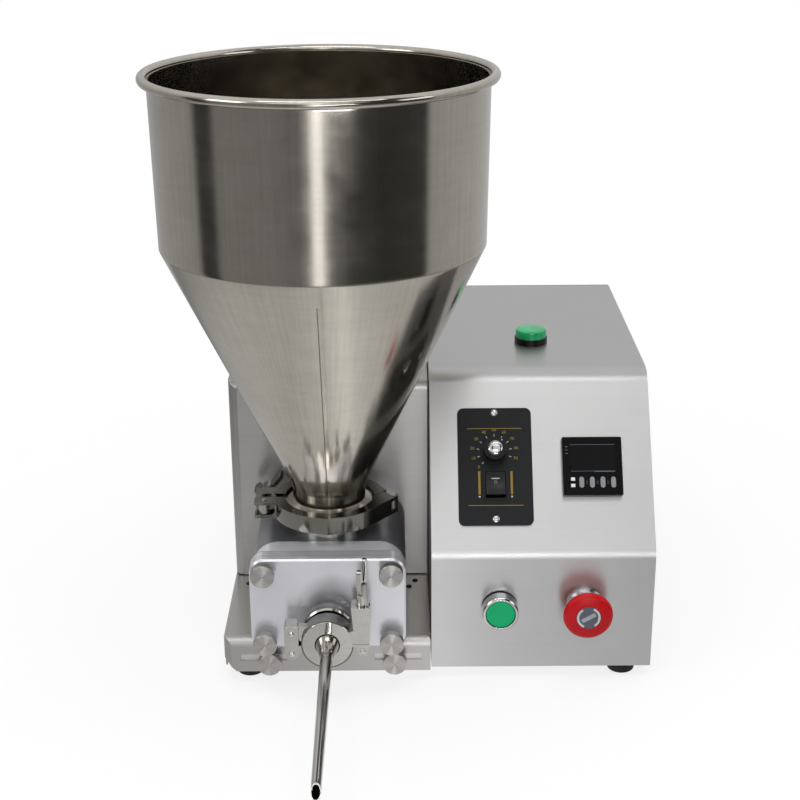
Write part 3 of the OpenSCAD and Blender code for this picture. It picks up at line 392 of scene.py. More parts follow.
def per_mm(size: float) -> float:
    """Gives a noise scale whose features are about that many millimetres across."""
    return 1.0 / (size * MM)


class NodeWork:
    """A node tree, built a node at a time."""

    def __init__(self, tree: bpy.types.NodeTree) -> None:
        """Takes the tree to build in."""
        self.nodes, self.links = tree.nodes, tree.links

    def add(self, kind: str, inputs: dict | None = None, out: str | int = 0, **settings: object) -> Socket:
        """Adds a node with its settings and links.

        Args:
            kind: The node's type name without its ShaderNode prefix.
            inputs: Socket name or number to a value or to another node's output.
            out: Name or number of the output that is wanted.
            settings: The node's own properties.

        Returns:
            That output of the new node.
        """
        node = self.nodes.new("ShaderNode" + kind)
        for key, value in settings.items():
            setattr(node, key, value)
        for key, value in (inputs or {}).items():
            self.join(node, key, value)
        return node.outputs[out]

    def join(self, node: bpy.types.Node, key: str | int, value: object) -> None:
        """Sets a socket to a value, or links it to another node's output.

        Args:
            node: The node.
            key: The socket's name or number.
            value: The value or output.
        """
        if isinstance(value, Socket):
            self.links.new(value, node.inputs[key])
        else:
            node.inputs[key].default_value = value

    def pattern(self, x: float, y: float, z: float, detail: float = 3.0, rough: float = 0.55) -> Socket:
        """Gives an uneven pattern of a real size.

        Args:
            x: Size of its features along the machine's x, in millimetres.
            y: The same along y.
            z: The same along z.
            detail: Steps of finer pattern on top.
            rough: How much the finer steps count.

        Returns:
            The pattern, from 0 to 1.
        """
        scale = {"Vector": self.add("TexCoord", out="Object"), "Scale": (per_mm(x), per_mm(y), per_mm(z))}
        return self.add("TexNoise", {"Vector": self.add("Mapping", scale), "Scale": 1.0,
                                     "Detail": detail, "Roughness": rough})

    def weigh(self, *parts: tuple[float, Socket]) -> Socket:
        """Adds up patterns.

        Args:
            parts: The weight of each pattern, and the pattern.

        Returns:
            The sum.
        """
        terms = [self.add("Math", {0: pattern, 1: weight}, operation="MULTIPLY") for weight, pattern in parts]
        total = terms[0]
        for term in terms[1:]:
            total = self.add("Math", {0: total, 1: term}, operation="ADD")
        return total

    def level_at(self, value: Socket, levels: Profile, span: float) -> Socket:
        """Gives the level that belongs to a value, between the nearest two that are listed.

        Args:
            value: The value.
            levels: Pairs of value and level, in rising order.
            span: The range of values that the list covers, half of it to each side of 0.

        Returns:
            The level.
        """
        share = self.add("MapRange", {0: value, 1: -span / 2, 2: span / 2, 3: 0.0, 4: 1.0})
        half = self.add("ValToRGB", {0: share})
        stops = half.node.color_ramp.elements
        while len(stops) < len(levels):
            stops.new(0.5)
        for stop, (at, level) in zip(stops, levels):
            # A stop's colour ends at 1, and some levels are above it, so it holds half of each.
            stop.position = at / span + 0.5
            stop.color = (level / 2, level / 2, level / 2, 1)
        return self.add("Math", {0: half, 1: 2.0}, operation="MULTIPLY")


class Shader(NodeWork):
    """One material's node tree."""

    NAMES = {"color": "Base Color", "rough": "Roughness", "metal": "Metallic", "ior": "IOR",
             "coat": "Coat Weight", "coat_rough": "Coat Roughness", "clear": "Transmission Weight",
             "aniso": "Anisotropic", "tangent": "Tangent", "normal": "Normal"}

    def __init__(self, name: str) -> None:
        """Starts a material with only its output and principled shader.

        Args:
            name: The material's name.
        """
        self.material = bpy.data.materials.new(name)
        self.material.use_nodes = True
        super().__init__(self.material.node_tree)
        self.principled = self.nodes["Principled BSDF"]

    def surface(self, **sockets: object) -> None:
        """Sets or links the principled shader's sockets by short name."""
        for key, value in sockets.items():
            self.join(self.principled, self.NAMES[key], value)


class Grain(Enum):
    """How a metal's surface was worked."""

    SHEET = "sheet brushed along its length"
    TURNED = "turned on a lathe"
    FACED = "faced in rings on a lathe"
    CAST = "cast and tumbled, or blasted"
    GROUND = "ground smooth"
    PRINT = "metallic ink"


@dataclass(frozen=True)
class Metal:
    """A bare metal: its colour, the marks its working left, and how sharp it shines.

    A painted reflection is a place, an inner and outer radius in millimetres and the darker colour painted
    inside it, standing in for a dark thing mirrored there.
    """

    name: str
    light: str
    dark: str
    rough: float
    grain: Grain = Grain.CAST
    grain_mm: float = 0.6
    run_mm: float = 60.0
    depth_mm: float = 0.0
    blotch_mm: float = 45.0
    metal: float = 1.0
    painted_reflection: tuple = ()

    GRAIN_SHARE = 0.55  # of the colour's change; soft blotches give the rest
    WALL_LEAN = 0.7  # a face is a side wall where its normal's x is more than this

    def build(self) -> Material:
        """Builds the material.

        Returns:
            The material.
        """
        s = Shader(self.name)
        grain = self._grain(s)
        cloud = s.pattern(self.blotch_mm, self.blotch_mm, self.blotch_mm * 0.7)
        tone = s.weigh((self.GRAIN_SHARE, grain), (1 - self.GRAIN_SHARE, cloud))
        shade = s.add("MapRange", {0: tone, 1: 0.15, 2: 0.85, 3: 0.0, 4: 1.0})
        color = s.add("Mix", {0: shade, 6: linear(self.dark), 7: linear(self.light)}, 2, data_type="RGBA")
        # Painted reflection: a darker disc of colour round a place, standing in for a dark thing mirrored
        # there.
        if self.painted_reflection:
            at, inner, outer, reflection_color = self.painted_reflection
            away = s.add("VectorMath", {0: s.add("TexCoord", out="Object"), 1: place(*at)}, 1,
                         operation="DISTANCE")
            near = s.add("MapRange", {0: away, 1: inner * MM, 2: outer * MM, 3: 1.0, 4: 0.0})
            color = s.add("Mix", {0: near, 6: color, 7: linear(reflection_color)}, 2, data_type="RGBA")
        rough = s.add("MapRange", {0: cloud, 1: 0.0, 2: 1.0, 3: self.rough * 0.85, 4: self.rough * 1.15})
        s.surface(color=color, metal=self.metal, rough=rough)
        if self.depth_mm > 0:
            relief = s.add("Bump", {"Height": grain, "Distance": self.depth_mm * MM, "Strength": 1.0})
            s.surface(normal=relief)
        if self.grain is Grain.SHEET:
            # A brushed sheet smears its reflections across the brushing.
            s.surface(aniso=0.8, tangent=self._by_side(s, (0, 0.7071, 0.7071), (0, 0, 1)))
        if self.grain is Grain.FACED:
            s.surface(aniso=0.95, tangent=s.add("Attribute", out="Vector", attribute_name="radial"))
        return s.material

    def _grain(self, s: Shader) -> Socket:
        """Gives the marks that working left: even ones, or lines along a brushed sheet.

        Args:
            s: The material's nodes.

        Returns:
            The pattern.
        """
        fine, run = self.grain_mm, self.run_mm
        if self.grain is not Grain.SHEET:
            return s.pattern(fine, fine, fine, 4.0, 0.6)
        at = {"Vector": s.add("TexCoord", out="Object")}
        front, side = (s.add("Mapping", at | {"Scale": (per_mm(x), per_mm(y), per_mm(fine))})
                       for x, y in ((run, fine), (fine, run)))
        return s.add("TexNoise", {"Vector": self._by_side(s, front, side), "Scale": 1.0,
                                  "Detail": 4.0, "Roughness": 0.6})

    def _by_side(self, s: Shader, front: object, side: object) -> Socket:
        """Picks a vector by which way the sheet faces.

        Args:
            s: The material's nodes.
            front: The vector on faces that look forward, back, up or down.
            side: The vector on the left and right walls.

        Returns:
            The vector of each face.
        """
        across = s.add("SeparateXYZ", {0: s.add("NewGeometry", out="True Normal")})
        lean = s.add("Math", {0: across}, operation="ABSOLUTE")
        wall = s.add("Math", {0: lean, 1: self.WALL_LEAN}, operation="GREATER_THAN")
        return s.add("Mix", {0: wall, 4: front, 5: side}, 1, data_type="VECTOR")


@dataclass(frozen=True)
class HopperSteel:
    """Stainless sheet, rolled, welded and rubbed down along its slope.

    The rubbing leaves long faint streaks down the wall and short ones round it, handling leaves soft clouds,
    and darker tongues above the foot of the cone, less on the flange, are painted reflection of the clamp and
    neck.
    """

    name: str
    light: str
    dark: str
    # The dark colour of the painted reflection at the cone's foot and on the flange.
    reflected_dark: str
    rough: float

    def build(self) -> Material:
        """Builds the material on the hopper's own round coordinates.

        Returns:
            The material.
        """
        s = Shader(self.name)
        axis = place(PUMP_X, HOPPER_Y, 0)
        here = s.add("TexCoord", out="Object")
        coords = s.add("Mapping", {"Vector": here, "Location": (-axis.x, -axis.y, 0)})
        split = s.add("SeparateXYZ", {0: coords}).node.outputs
        up = split[2]
        around = s.add("Math", {0: split[0], 1: split[1]}, operation="ARCTAN2")

        def mark(turns: float, tall_mm: float, detail: float) -> Socket:
            """Gives a pattern with that many cells to a radian round the wall, each that tall.

            Args:
                turns: Cells to a radian.
                tall_mm: Height of a cell in millimetres.
                detail: Steps of finer pattern on top.

            Returns:
                The pattern.
            """
            at = s.add("CombineXYZ", {0: s.add("Math", {0: around, 1: turns}, operation="MULTIPLY"),
                                      1: s.add("Math", {0: up, 1: per_mm(tall_mm)}, operation="MULTIPLY")})
            return s.add("TexNoise", {"Vector": at, "Scale": 1.0, "Detail": detail, "Roughness": 0.55})

        cloud = s.pattern(38.0, 38.0, 26.0, 4.0, 0.6)
        streak, hair, rub, reflection_tongue = (mark(*size) for size in (
            (38.0, 90.0, 3.0), (260.0, 26.0, 2.0), (3.2, 4.5, 2.0), (5.0, 110.0, 2.0)))
        tone = s.weigh((0.35, streak), (0.35, cloud), (0.12, hair), (0.18, rub))
        shade = s.add("MapRange", {0: tone, 1: 0.24, 2: 0.76, 3: 0.0, 4: 1.0})
        steel = s.add("Mix", {0: shade, 6: linear(self.dark), 7: linear(self.light)}, 2, data_type="RGBA")
        # Painted reflection: dark tongues rising from the cone's foot, and a weaker share on the flange,
        # darken the colour and dull the shine.
        tip = s.add("MapRange", {0: reflection_tongue, 1: 0.3, 2: 0.7, 3: -26 * MM, 4: 30 * MM})
        over = s.add("Math", {0: up, 1: tip}, operation="SUBTRACT")
        reflection_mask = s.add("MapRange", {0: over, 1: 150 * MM, 2: 176 * MM, 3: 1.0, 4: 0.0})
        neck = s.add("MapRange", {0: up, 1: 145 * MM, 2: 149 * MM, 3: 0.35, 4: 1.0})
        reflection_mask = s.add("Math", {0: reflection_mask, 1: neck}, operation="MULTIPLY")
        share = s.add("Math", {0: reflection_mask, 1: 0.8}, operation="MULTIPLY")
        shine = s.add("MapRange", {0: cloud, 1: 0.25, 2: 0.75, 3: self.rough * 0.7, 4: self.rough * 1.3})
        color = s.add("Mix", {0: share, 6: steel, 7: linear(self.reflected_dark)}, 2, data_type="RGBA")
        waves = s.pattern(70.0, 70.0, 50.0, 1.0)
        relief = s.add("Bump", {"Height": waves, "Distance": 0.25 * MM, "Strength": 1.0})
        s.surface(color=color, rough=s.weigh((1.0, shine), (0.08, reflection_mask)), metal=1.0, normal=relief)
        return s.material


@dataclass(frozen=True)
class Moulded:
    """A moulded or printed plastic, or rubber: fine pebble, faint unevenness and dust."""

    name: str
    color: str
    worn: str
    rough: float
    pebble_mm: float = 0.3
    depth_mm: float = 0.001
    ior: float = 1.5

    def build(self) -> Material:
        """Builds the material.

        Returns:
            The material.
        """
        s = Shader(self.name)
        cloud = s.pattern(9.0, 9.0, 9.0)
        dust = s.add("MapRange", {0: cloud, 1: 0.52, 2: 0.75, 3: 0.0, 4: 0.5})
        pebble = s.pattern(self.pebble_mm, self.pebble_mm, self.pebble_mm, 2.0)
        color = s.add("Mix", {0: dust, 6: linear(self.color), 7: linear(self.worn)}, 2, data_type="RGBA")
        low, high = self.rough * 0.85, self.rough * 1.2
        rough = s.add("MapRange", {0: cloud, 1: 0.35, 2: 0.65, 3: low, 4: high})
        relief = s.add("Bump", {"Height": pebble, "Distance": self.depth_mm * MM, "Strength": 1.0})
        s.surface(color=color, rough=rough, normal=relief, ior=self.ior)
        return s.material


@dataclass(frozen=True)
class Lens:
    """A tinted translucent moulding with light scattered inside it."""

    name: str
    color: str
    deep: str
    rough: float
    clear: float

    def build(self) -> Material:
        """Builds the material.

        Returns:
            The material.
        """
        s = Shader(self.name)
        shade = s.add("MapRange", {0: s.pattern(14.0, 14.0, 9.0, 1.0), 1: 0.4, 2: 0.6, 3: 0.0, 4: 1.0})
        color = s.add("Mix", {0: shade, 6: linear(self.deep), 7: linear(self.color)}, 2, data_type="RGBA")
        s.surface(color=color, rough=self.rough, clear=self.clear, ior=1.49, coat=0.4, coat_rough=0.08)
        return s.material


# Brushed 304 stainless sheet: pale, a little warm, its highlights drawn out across the grain. The real
# lines are 0.1 mm apart; they are drawn at 1.6 mm, as coarse as they need to be to show.
SHEET = Metal("brushed_stainless_sheet", "#C9C8C8", "#C1C0C0", 0.31, Grain.SHEET, 1.6, 160.0)
# The base and the housing: the same sheet, handled more and duller.
DULL_SHEET = Metal("handled_stainless_sheet", "#BCBAB8", "#AEABA9", 0.32, Grain.SHEET, 1.6, 120.0)
# The plainer, duller back of the same sheet.
PAN = Metal("plain_stainless_sheet", "#DCD8DA", "#CFCBCD", 0.40, Grain.SHEET, 1.6, metal=0.8)
# Rolled and welded hopper wall, outside and inside: warm, with upright bands of light and dark, and a dark
# painted reflection at the foot of the cone.
HOPPER = HopperSteel("rubbed_hopper_steel_and_painted_reflection", "#D4CFC5", "#B4AEA3", "#5B5850", 0.14)
# A weld ground flush: darker and duller than the wall. The same dark finish is also the painted shadow ring
# round the small clamp's face.
WELD_AND_SHADOW = Metal("ground_weld_and_painted_shadow", "#7C7973", "#5E5B56", 0.38, grain_mm=0.9, depth_mm=0.004)
# Satin aluminium, bead blasted and anodised clear: cool and even.
SATIN = Metal("satin_aluminium", "#E6E6EB", "#DEDEE4", 0.24, metal=0.45)
# The cover's face: the same, with a painted reflection round the nozzle: a darker disc where the nozzle
# clamp's shaded back would mirror in the satin.
COVER_FACE = replace(SATIN, name="satin_aluminium_painted_reflection", metal=0.62,
                     painted_reflection=((PUMP_X + 4.0, COVER_Y, 76.0), 12.0, 30.0, "#9D9DA2"))
# Hard anodised pump body: dark grey with a low sheen.
PUMP_GREY = Metal("hard_anodised_aluminium", "#8A8C91", "#7E8085", 0.32, metal=0.7)
# Investment cast clamp steel, tumbled: warm, soft shine, and a mid grey that is the casting's colour darkened
# as painted shade.
CLAMP = Metal("cast_clamp_steel_painted_shade", "#8C8A83", "#7D7B74", 0.13, grain_mm=0.9, blotch_mm=14.0)
# The small clamp: the same casting, electropolished, in the casting's own lighter colour.
BRIGHT_CLAMP = Metal("polished_clamp_steel", "#CFCDC8", "#B3B1AB", 0.08, grain_mm=0.9, blotch_mm=6.0)
# Polished pipe and ferrules: near a mirror.
POLISHED = Metal("polished_pipe_steel", "#CECCC7", "#C2C0BB", 0.10, grain_mm=0.7, blotch_mm=14.0)
# Turned bar: a soft shine with faint tool marks.
TURNED = Metal("turned_stainless_bar", "#C2C0BB", "#B0AEA9", 0.22, Grain.TURNED, 0.3, depth_mm=0.001,
               blotch_mm=7.0)
# Faces of the thumb nuts: fine rings, so the light stands on them in sectors.
FACED = Metal("faced_stainless_bar", "#CBC7C4", "#BFBBB8", 0.45, Grain.FACED, blotch_mm=7.0)
# Chrome plate on brass: bright, neutral and sharp.
CHROME = Metal("chrome_plated_brass", "#D9D9D9", "#C6C6C8", 0.10, Grain.GROUND, depth_mm=0.0015,
               blotch_mm=8.0)
# Sintered bronze: brown and matt from its pores.
BRONZE = Metal("sintered_bronze", "#A5814B", "#8A6A3B", 0.45, grain_mm=0.4, depth_mm=0.01)
# Pressure die cast aluminium: grey and dull.
CASTING = Metal("die_cast_aluminium", "#9B9DA0", "#85878A", 0.50, depth_mm=0.02)
# Gold screen print: a dull glint in the right light.
GOLD_INK = Metal("gold_print", "#A8924A", "#84703A", 0.45, Grain.PRINT, 0.4, depth_mm=0.001, blotch_mm=5.0)
# Moulded nitrile rubber: black, matt, greyer where it is dusty.
RUBBER = Moulded("moulded_black_rubber", "#101010", "#1B1B1B", 0.72, 0.5, 0.02)
# Silicone: milky and matt.
SILICONE = Moulded("silicone_rubber", "#D8D7D0", "#C7C6BE", 0.5, 0.35, 0.01)
# Moulded ABS: black with a soft shine.
BLACK_ABS = Moulded("moulded_black_abs", "#0B0B0D", "#121315", 0.34, 0.35, 0.01, 1.38)
# Polycarbonate bezel: a deeper black.
TIMER_ABS = Moulded("moulded_black_polycarbonate", "#050506", "#090A0B", 0.30, 0.35, 0.01, 1.22)
# Printed film on the controller's plate: charcoal, matt.
PLATE_FILM = Moulded("printed_black_film", "#1C1D1F", "#242527", 0.44, 0.25, ior=1.3)
# Smoked window: black and glossy.
WINDOW = Moulded("smoked_window", "#07080A", "#0B0C0E", 0.12, 2.0, ior=1.25)
# Keycaps: mid grey with a fine spark-eroded texture.
KEY_GREY = Moulded("moulded_grey_keycap", "#85878A", "#74767A", 0.45, 0.2, 0.004)
WHITE_ABS = Moulded("moulded_white_abs", "#E4E4E2", "#D2D2D0", 0.4, 0.35, 0.01)
# White print, fresh and faded: flat and matt.
WHITE_INK = Moulded("white_print", "#C9CACC", "#B4B5B8", 0.5)
STOP_PRINT = Moulded("faded_white_print", "#A4A6AD", "#8F929A", 0.5)
DISC_GREY = Moulded("printed_grey_disc", "#565A66", "#4C505B", 0.42)
# Button plastics: saturated, with a soft shine.
RED_ABS = Moulded("moulded_red_abs", "#BC0410", "#AC030E", 0.32, 0.6, ior=1.35)
GREEN_ABS = Moulded("moulded_green_abs", "#02AD6C", "#029F62", 0.32, 0.6, ior=1.35)
# Stove enamel on the motor: black with an orange peel.
MOTOR_BLACK = Moulded("stove_enamel", "#17181A", "#202124", 0.4, 0.6, 0.01)
# Polyurethane coupling spider: dull red.
SPIDER_RED = Moulded("polyurethane_spider", "#9C1A1C", "#86181A", 0.55, 0.35, 0.01)
# Ribbed lamp lens: tinted green, a little clear.
GREEN_LENS = Lens("tinted_green_lens", "#12C078", "#08A564", 0.18, 0.15)

Finish = Metal | HopperSteel | Moulded | Lens
MADE: dict[str, Material] = {}


def material_of(finish: Finish) -> Material:
    """Gives the material of a finish, built once, when a piece first asks for it.

    Args:
        finish: The finish.

    Returns:
        Its material.
    """
    if finish.name not in MADE:
        MADE[finish.name] = finish.build()
    return MADE[finish.name]


# --------------------------------------------------------------------------- pieces
class Assembly:
    """A sub-assembly that dresses its pieces and hands them to the frame."""

    def dress(self, piece: Piece, finish: Finish, slot: str, body: str = "machine",
              nodes: Sequence[str] = ()) -> None:
        """Gives a piece its material and the body it rides on.

        Args:
            piece: The finished mesh object.
            finish: The finish it wears.
            slot: Not used.
            body: The CAD body it rides on.
            nodes: The CAD nodes it stands for.
        """
        piece.data.materials.clear()
        piece.data.materials.append(material_of(finish))
        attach(piece, body)
        if nodes:
            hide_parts(*nodes)
        LOG.info("%s: %d faces", piece.name, len(piece.data.polygons))

    def reskin(self, node: str, name: str, bevel: float, finish: Finish, slot: str, segments: int = 2,
               body: str = "machine") -> None:
        """Puts a rounded copy of a CAD node's solid in the node's place.

        Args:
            node: The CAD node.
            name: The new piece's name.
            bevel: Rounding of its edges in millimetres.
            finish: The finish it wears.
            slot: Handed on to dress, which does not use it.
            segments: Faces across each rounding.
            body: The CAD body it rides on.
        """
        self.dress(skin(node, name, bevel, segments), finish, slot, body, (node,))

    def paint(self, finish: Finish, *nodes: str) -> None:
        """Gives CAD nodes that nothing replaces their material.

        Args:
            finish: The finish they wear.
            nodes: The CAD nodes.
        """
        for node in nodes:
            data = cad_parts[node].data
            data.materials.clear()
            data.materials.append(material_of(finish))
            for polygon in data.polygons:
                polygon.material_index = 0


@dataclass
class SheetWork(Assembly):
    """The base tray, drive housing, cabinet, rear covers, pans and feet."""

    edge: float = 0.35
    side_round: float = 4.5
    side_foot: float = 15.0
    seam: tuple = (164.0, 0.9, 0, 0.06)
    seam_at: tuple = (-84.0, 108.0, 40.0)
    base_top: float = 39.4
    screw_r: float = 2.4
    screw_h: float = 1.4
    screws_on_base: tuple = ((-156.0, 92.0), (-17.4, 84.6), (-12.0, 95.7))
    housing_screws: tuple = ((-160.0, -9.0), (50.0, 130.0, 210.0))
    cabinet_screws: tuple = ((8.0, CABINET_W - 8.0), (20.0, 122.0, 225.0))

    def build(self) -> None:
        """Builds the folded sheet bodies and what is fixed to them."""
        for node, name, finish in (("base_tray", "base_tray_skin", DULL_SHEET),
                                   ("drive_housing", "housing_skin", DULL_SHEET),
                                   ("control_cabinet", "cabinet_skin", SHEET)):
            piece = skin(node, name, 0.0)
            if node == "control_cabinet":
                self._round_side(piece)
            soften(piece, self.edge)
            self.dress(piece, finish, "brushed_sheet", nodes=(node,))
        seam = plate("housing_seam", *self.seam, Facing.FRONT.at(*self.seam_at))
        self.dress(seam, RUBBER, "brushed_sheet")
        self.paint(SHEET, "drive_rear_cover", "cabinet_rear_cover")
        self.paint(PAN, "floor_pans", "pump_foot", "motor_bracket")
        self.paint(BLACK_ABS, "power_inlet")
        self.reskin("rubber_feet", "feet_skin", 0.4, RUBBER, "black_rubber")
        self._screws()

    def _round_side(self, piece: Piece) -> None:
        """Rounds the edge where the cabinet's folded front meets its right side.

        Args:
            piece: The cabinet.
        """
        right, back = place(CABINET_W, 0, 0).x, place(0, REAR_FACE - 10, 0).y
        data = piece.data
        weights = [0.0] * len(data.edges)
        for edge in data.edges:
            ends = [data.vertices[i].co for i in edge.vertices]
            on_side = all(abs(co.x - right) < 0.05 * MM and co.z > self.side_foot * MM for co in ends)
            if on_side and min(co.y for co in ends) < back:
                weights[edge.index] = 1.0
        data.attributes.new("bevel_weight_edge", "FLOAT", "EDGE").data.foreach_set("value", weights)
        bevel = piece.modifiers.new("Side", "BEVEL")
        bevel.width = self.side_round * MM
        bevel.segments = 6
        bevel.limit_method = "WEIGHT"
        finish_modifiers(piece)

    def _screws(self) -> None:
        """Adds the pan-head screws of the base top and the rear covers."""
        first = screw("base_screw_0", self.screw_r, self.screw_h, Matrix.Identity(4))
        spots = [(Facing.UP.at(x, y, self.base_top), BLACK_ABS) for x, y in self.screws_on_base]
        for across, up in (self.housing_screws, self.cabinet_screws):
            spots += [(Facing.BACK.at(x, REAR_FACE - 0.1, z), TURNED) for x in across for z in up]
        for i, (matrix, finish) in enumerate(spots):
            self.dress(copy_of(first, f"case_screw_{i + 1}", matrix), finish, "bright_steel")
        bpy.data.objects.remove(first)


@dataclass
class Pump(Assembly):
    """The gear pump: body, bearing plate, cover, thumb nuts, rotors and shafts."""

    cover_w: float = 123.5
    cover_h: float = 78.0
    cover_r: float = 12.0
    joints: tuple = (("cover_joint", -2.6), ("cover_groove", -11.0))
    joint_out: float = 0.08
    nut_r: float = 9.5
    stud_dx: float = 50.2
    stud_dz: float = 30.3
    lock_x: tuple = (-130.6, -29.8)
    lock_y: float = -5.05
    lock_z: float = 22.8

    def build(self) -> None:
        """Builds the pump's visible pieces and dresses the hidden ones."""
        self.reskin("pump_body", "pump_body_casting", 0.8, PUMP_GREY, "grey_pump_body")
        self.reskin("bearing_plate", "bearing_plate_satin", 0.5, SATIN, "satin_aluminium")
        self.reskin("front_cover", "front_cover_satin", 0.25, COVER_FACE, "satin_aluminium")
        for name, y in self.joints:
            line = plate(name, self.cover_w + self.joint_out, self.cover_h + self.joint_out, self.cover_r,
                         0.4, Facing.FRONT.at(PUMP_X, y, PUMP_Z), segments=10)
            self.dress(line, DISC_GREY, "satin_aluminium")
        self.paint(TURNED, "drive_rotor", "idler_rotor", "drive_shafts", "idler_shaft", "cover_studs")
        for node, finish in (("shaft_bushes", BRONZE), ("shaft_seal", RUBBER), ("coupling_hubs", SATIN),
                             ("coupling_spider", SPIDER_RED), ("gearhead", CASTING),
                             ("drive_motor", MOTOR_BLACK)):
            self.paint(finish, node)
        self._nuts()

    def _nuts(self) -> None:
        """Turns one thumb nut and copies it to its six studs."""
        r = self.nut_r
        section = [(3.1, 0), (5.8, 0), (5.8, 5.6), (6.1, 6.0), (r - 0.5, 6.0), (r, 6.5), (r, 12.4),
                   (r - 0.6, 13.0), (3.0, 13.0), (2.4, 12.8), (0.2, 12.8), (0.2, 11.6), (3.1, 11.5)]
        first = lathe("nut", section, Matrix.Identity(4), 96, closed=True)
        spots = [(PUMP_X + a * self.stud_dx, COVER_Y - 0.05, PUMP_Z + b * self.stud_dz)
                 for a, b in ((-1, 1), (1, 1), (-1, -1), (1, -1))]
        spots += [(x, self.lock_y, self.lock_z) for x in self.lock_x]
        names = [f"cover_nut_{i}" for i in range(1, 5)] + [f"lock_nut_{i}" for i in range(1, 3)]
        for name, at in zip(names, spots):
            nut = copy_of(first, name + "_turned", Facing.FRONT.at(*at))
            self._mark_radial(nut, place(*at))
            self.dress(nut, FACED, "turned_steel", name, (name,))
        bpy.data.objects.remove(first)

    @staticmethod
    def _mark_radial(nut: Piece, middle: Vector) -> None:
        """Stores at each point the direction outward from the nut's axis.

        Args:
            nut: The nut in its place.
            middle: A place on its axis.
        """
        away = []
        for vertex in nut.data.vertices:
            side = vertex.co - middle
            side.y = 0.0
            away += list(side.normalized() if side.length > 1e-5 else Vector((1, 0, 0)))
        nut.data.attributes.new("radial", "FLOAT_VECTOR", "POINT").data.foreach_set("vector", away)


@dataclass
class Hopper(Assembly):
    """The rolled hopper with its wired rim, neck, flange and welded seam."""

    top_r: float = 127.2
    low_r: float = 125.2
    rim_z: float = 484.0
    cone_top: float = 357.0
    cone_low: float = 157.0
    neck_r: float = 29.5
    wall: float = 1.5
    bead_r: float = 3.7
    bead_out: float = 3.2
    flange_r: float = 38.75
    lip: float = 2.85
    groove_deg: float = 20.0
    steps: int = 192
    weld_r: float = 0.4
    weld_rings: int = 24
    weld_short: float = 18.0

    def _on_cone(self, rise: float) -> tuple[float, float]:
        """Gives the cone's outer radius and height that far above its foot."""
        slope = (self.low_r - self.neck_r - 1.2) / (self.cone_top - self.cone_low)
        return self.neck_r + 1.2 + slope * rise, self.cone_low + rise

    def _bead(self) -> list[tuple[float, float]]:
        """Gives the wired rim's section, from its foot round to its inner side.

        Returns:
            Pairs of radius and height.
        """
        middle, r = self.top_r + self.bead_out, self.bead_r
        turns = [math.radians(200 - 380 * k / 14) for k in range(14)]
        return [(middle + r * math.cos(a), self.rim_z + r * math.sin(a)) for a in turns]

    def profile(self) -> list[tuple[float, float]]:
        """Gives the wall's closed section, from the flange's face round to its bore.

        Returns:
            Pairs of radius and height.
        """
        face = HOPPER_JOINT_Z + 1.0
        back = (self.flange_r - self.neck_r) * math.tan(math.radians(self.groove_deg))
        bore, inside = self.neck_r - self.wall, self.low_r - self.wall
        return [(bore, face), (self.flange_r, face), (self.flange_r, face + self.lip),
                (self.neck_r, face + self.lip + back), (self.neck_r, self.cone_low - 4),
                (self.neck_r + 1.2, self.cone_low), self._on_cone(3.0),
                self._on_cone(self.cone_top - self.cone_low - 3.0), (self.low_r - 0.3, self.cone_top - 0.6),
                (self.low_r, self.cone_top + 0.3), (self.low_r + 0.05, self.cone_top + 3.0),
                (self.top_r - 0.05, self.rim_z - 6.0), *self._bead(),
                (self.top_r - self.wall, self.rim_z - 1), (inside, self.cone_top + 0.6),
                (inside - 0.6, self.cone_top - 1.2), (bore + 0.6, self.cone_low), (bore, self.cone_low - 4)]

    def build(self) -> None:
        """Builds the hopper and its weld."""
        at = Facing.UP.at(PUMP_X, HOPPER_Y, 0)
        shell = lathe("hopper_shell", self.profile(), at, self.steps, closed=True)
        self.dress(shell, HOPPER, "hopper_steel", nodes=("hopper",))
        self._seam()

    def _seam(self) -> None:
        """Lays the thin dressed weld down the front of the cone."""
        deselect()
        bpy.ops.mesh.primitive_circle_add(vertices=8, radius=self.weld_r * MM, fill_type="NGON")
        weld = named("cone_weld")
        edit(weld)
        rise = (self.cone_top - self.weld_short - self.cone_low) / self.weld_rings
        run = self._on_cone(rise)[0] - self._on_cone(0.0)[0]
        for _ in range(self.weld_rings):
            extrude(0, -run, rise)
        close()
        foot = place(PUMP_X, HOPPER_Y - self.neck_r - 1.0, self.cone_low)
        self.dress(set_down(weld, Matrix.Translation(foot)), WELD_AND_SHADOW, "hopper_steel")


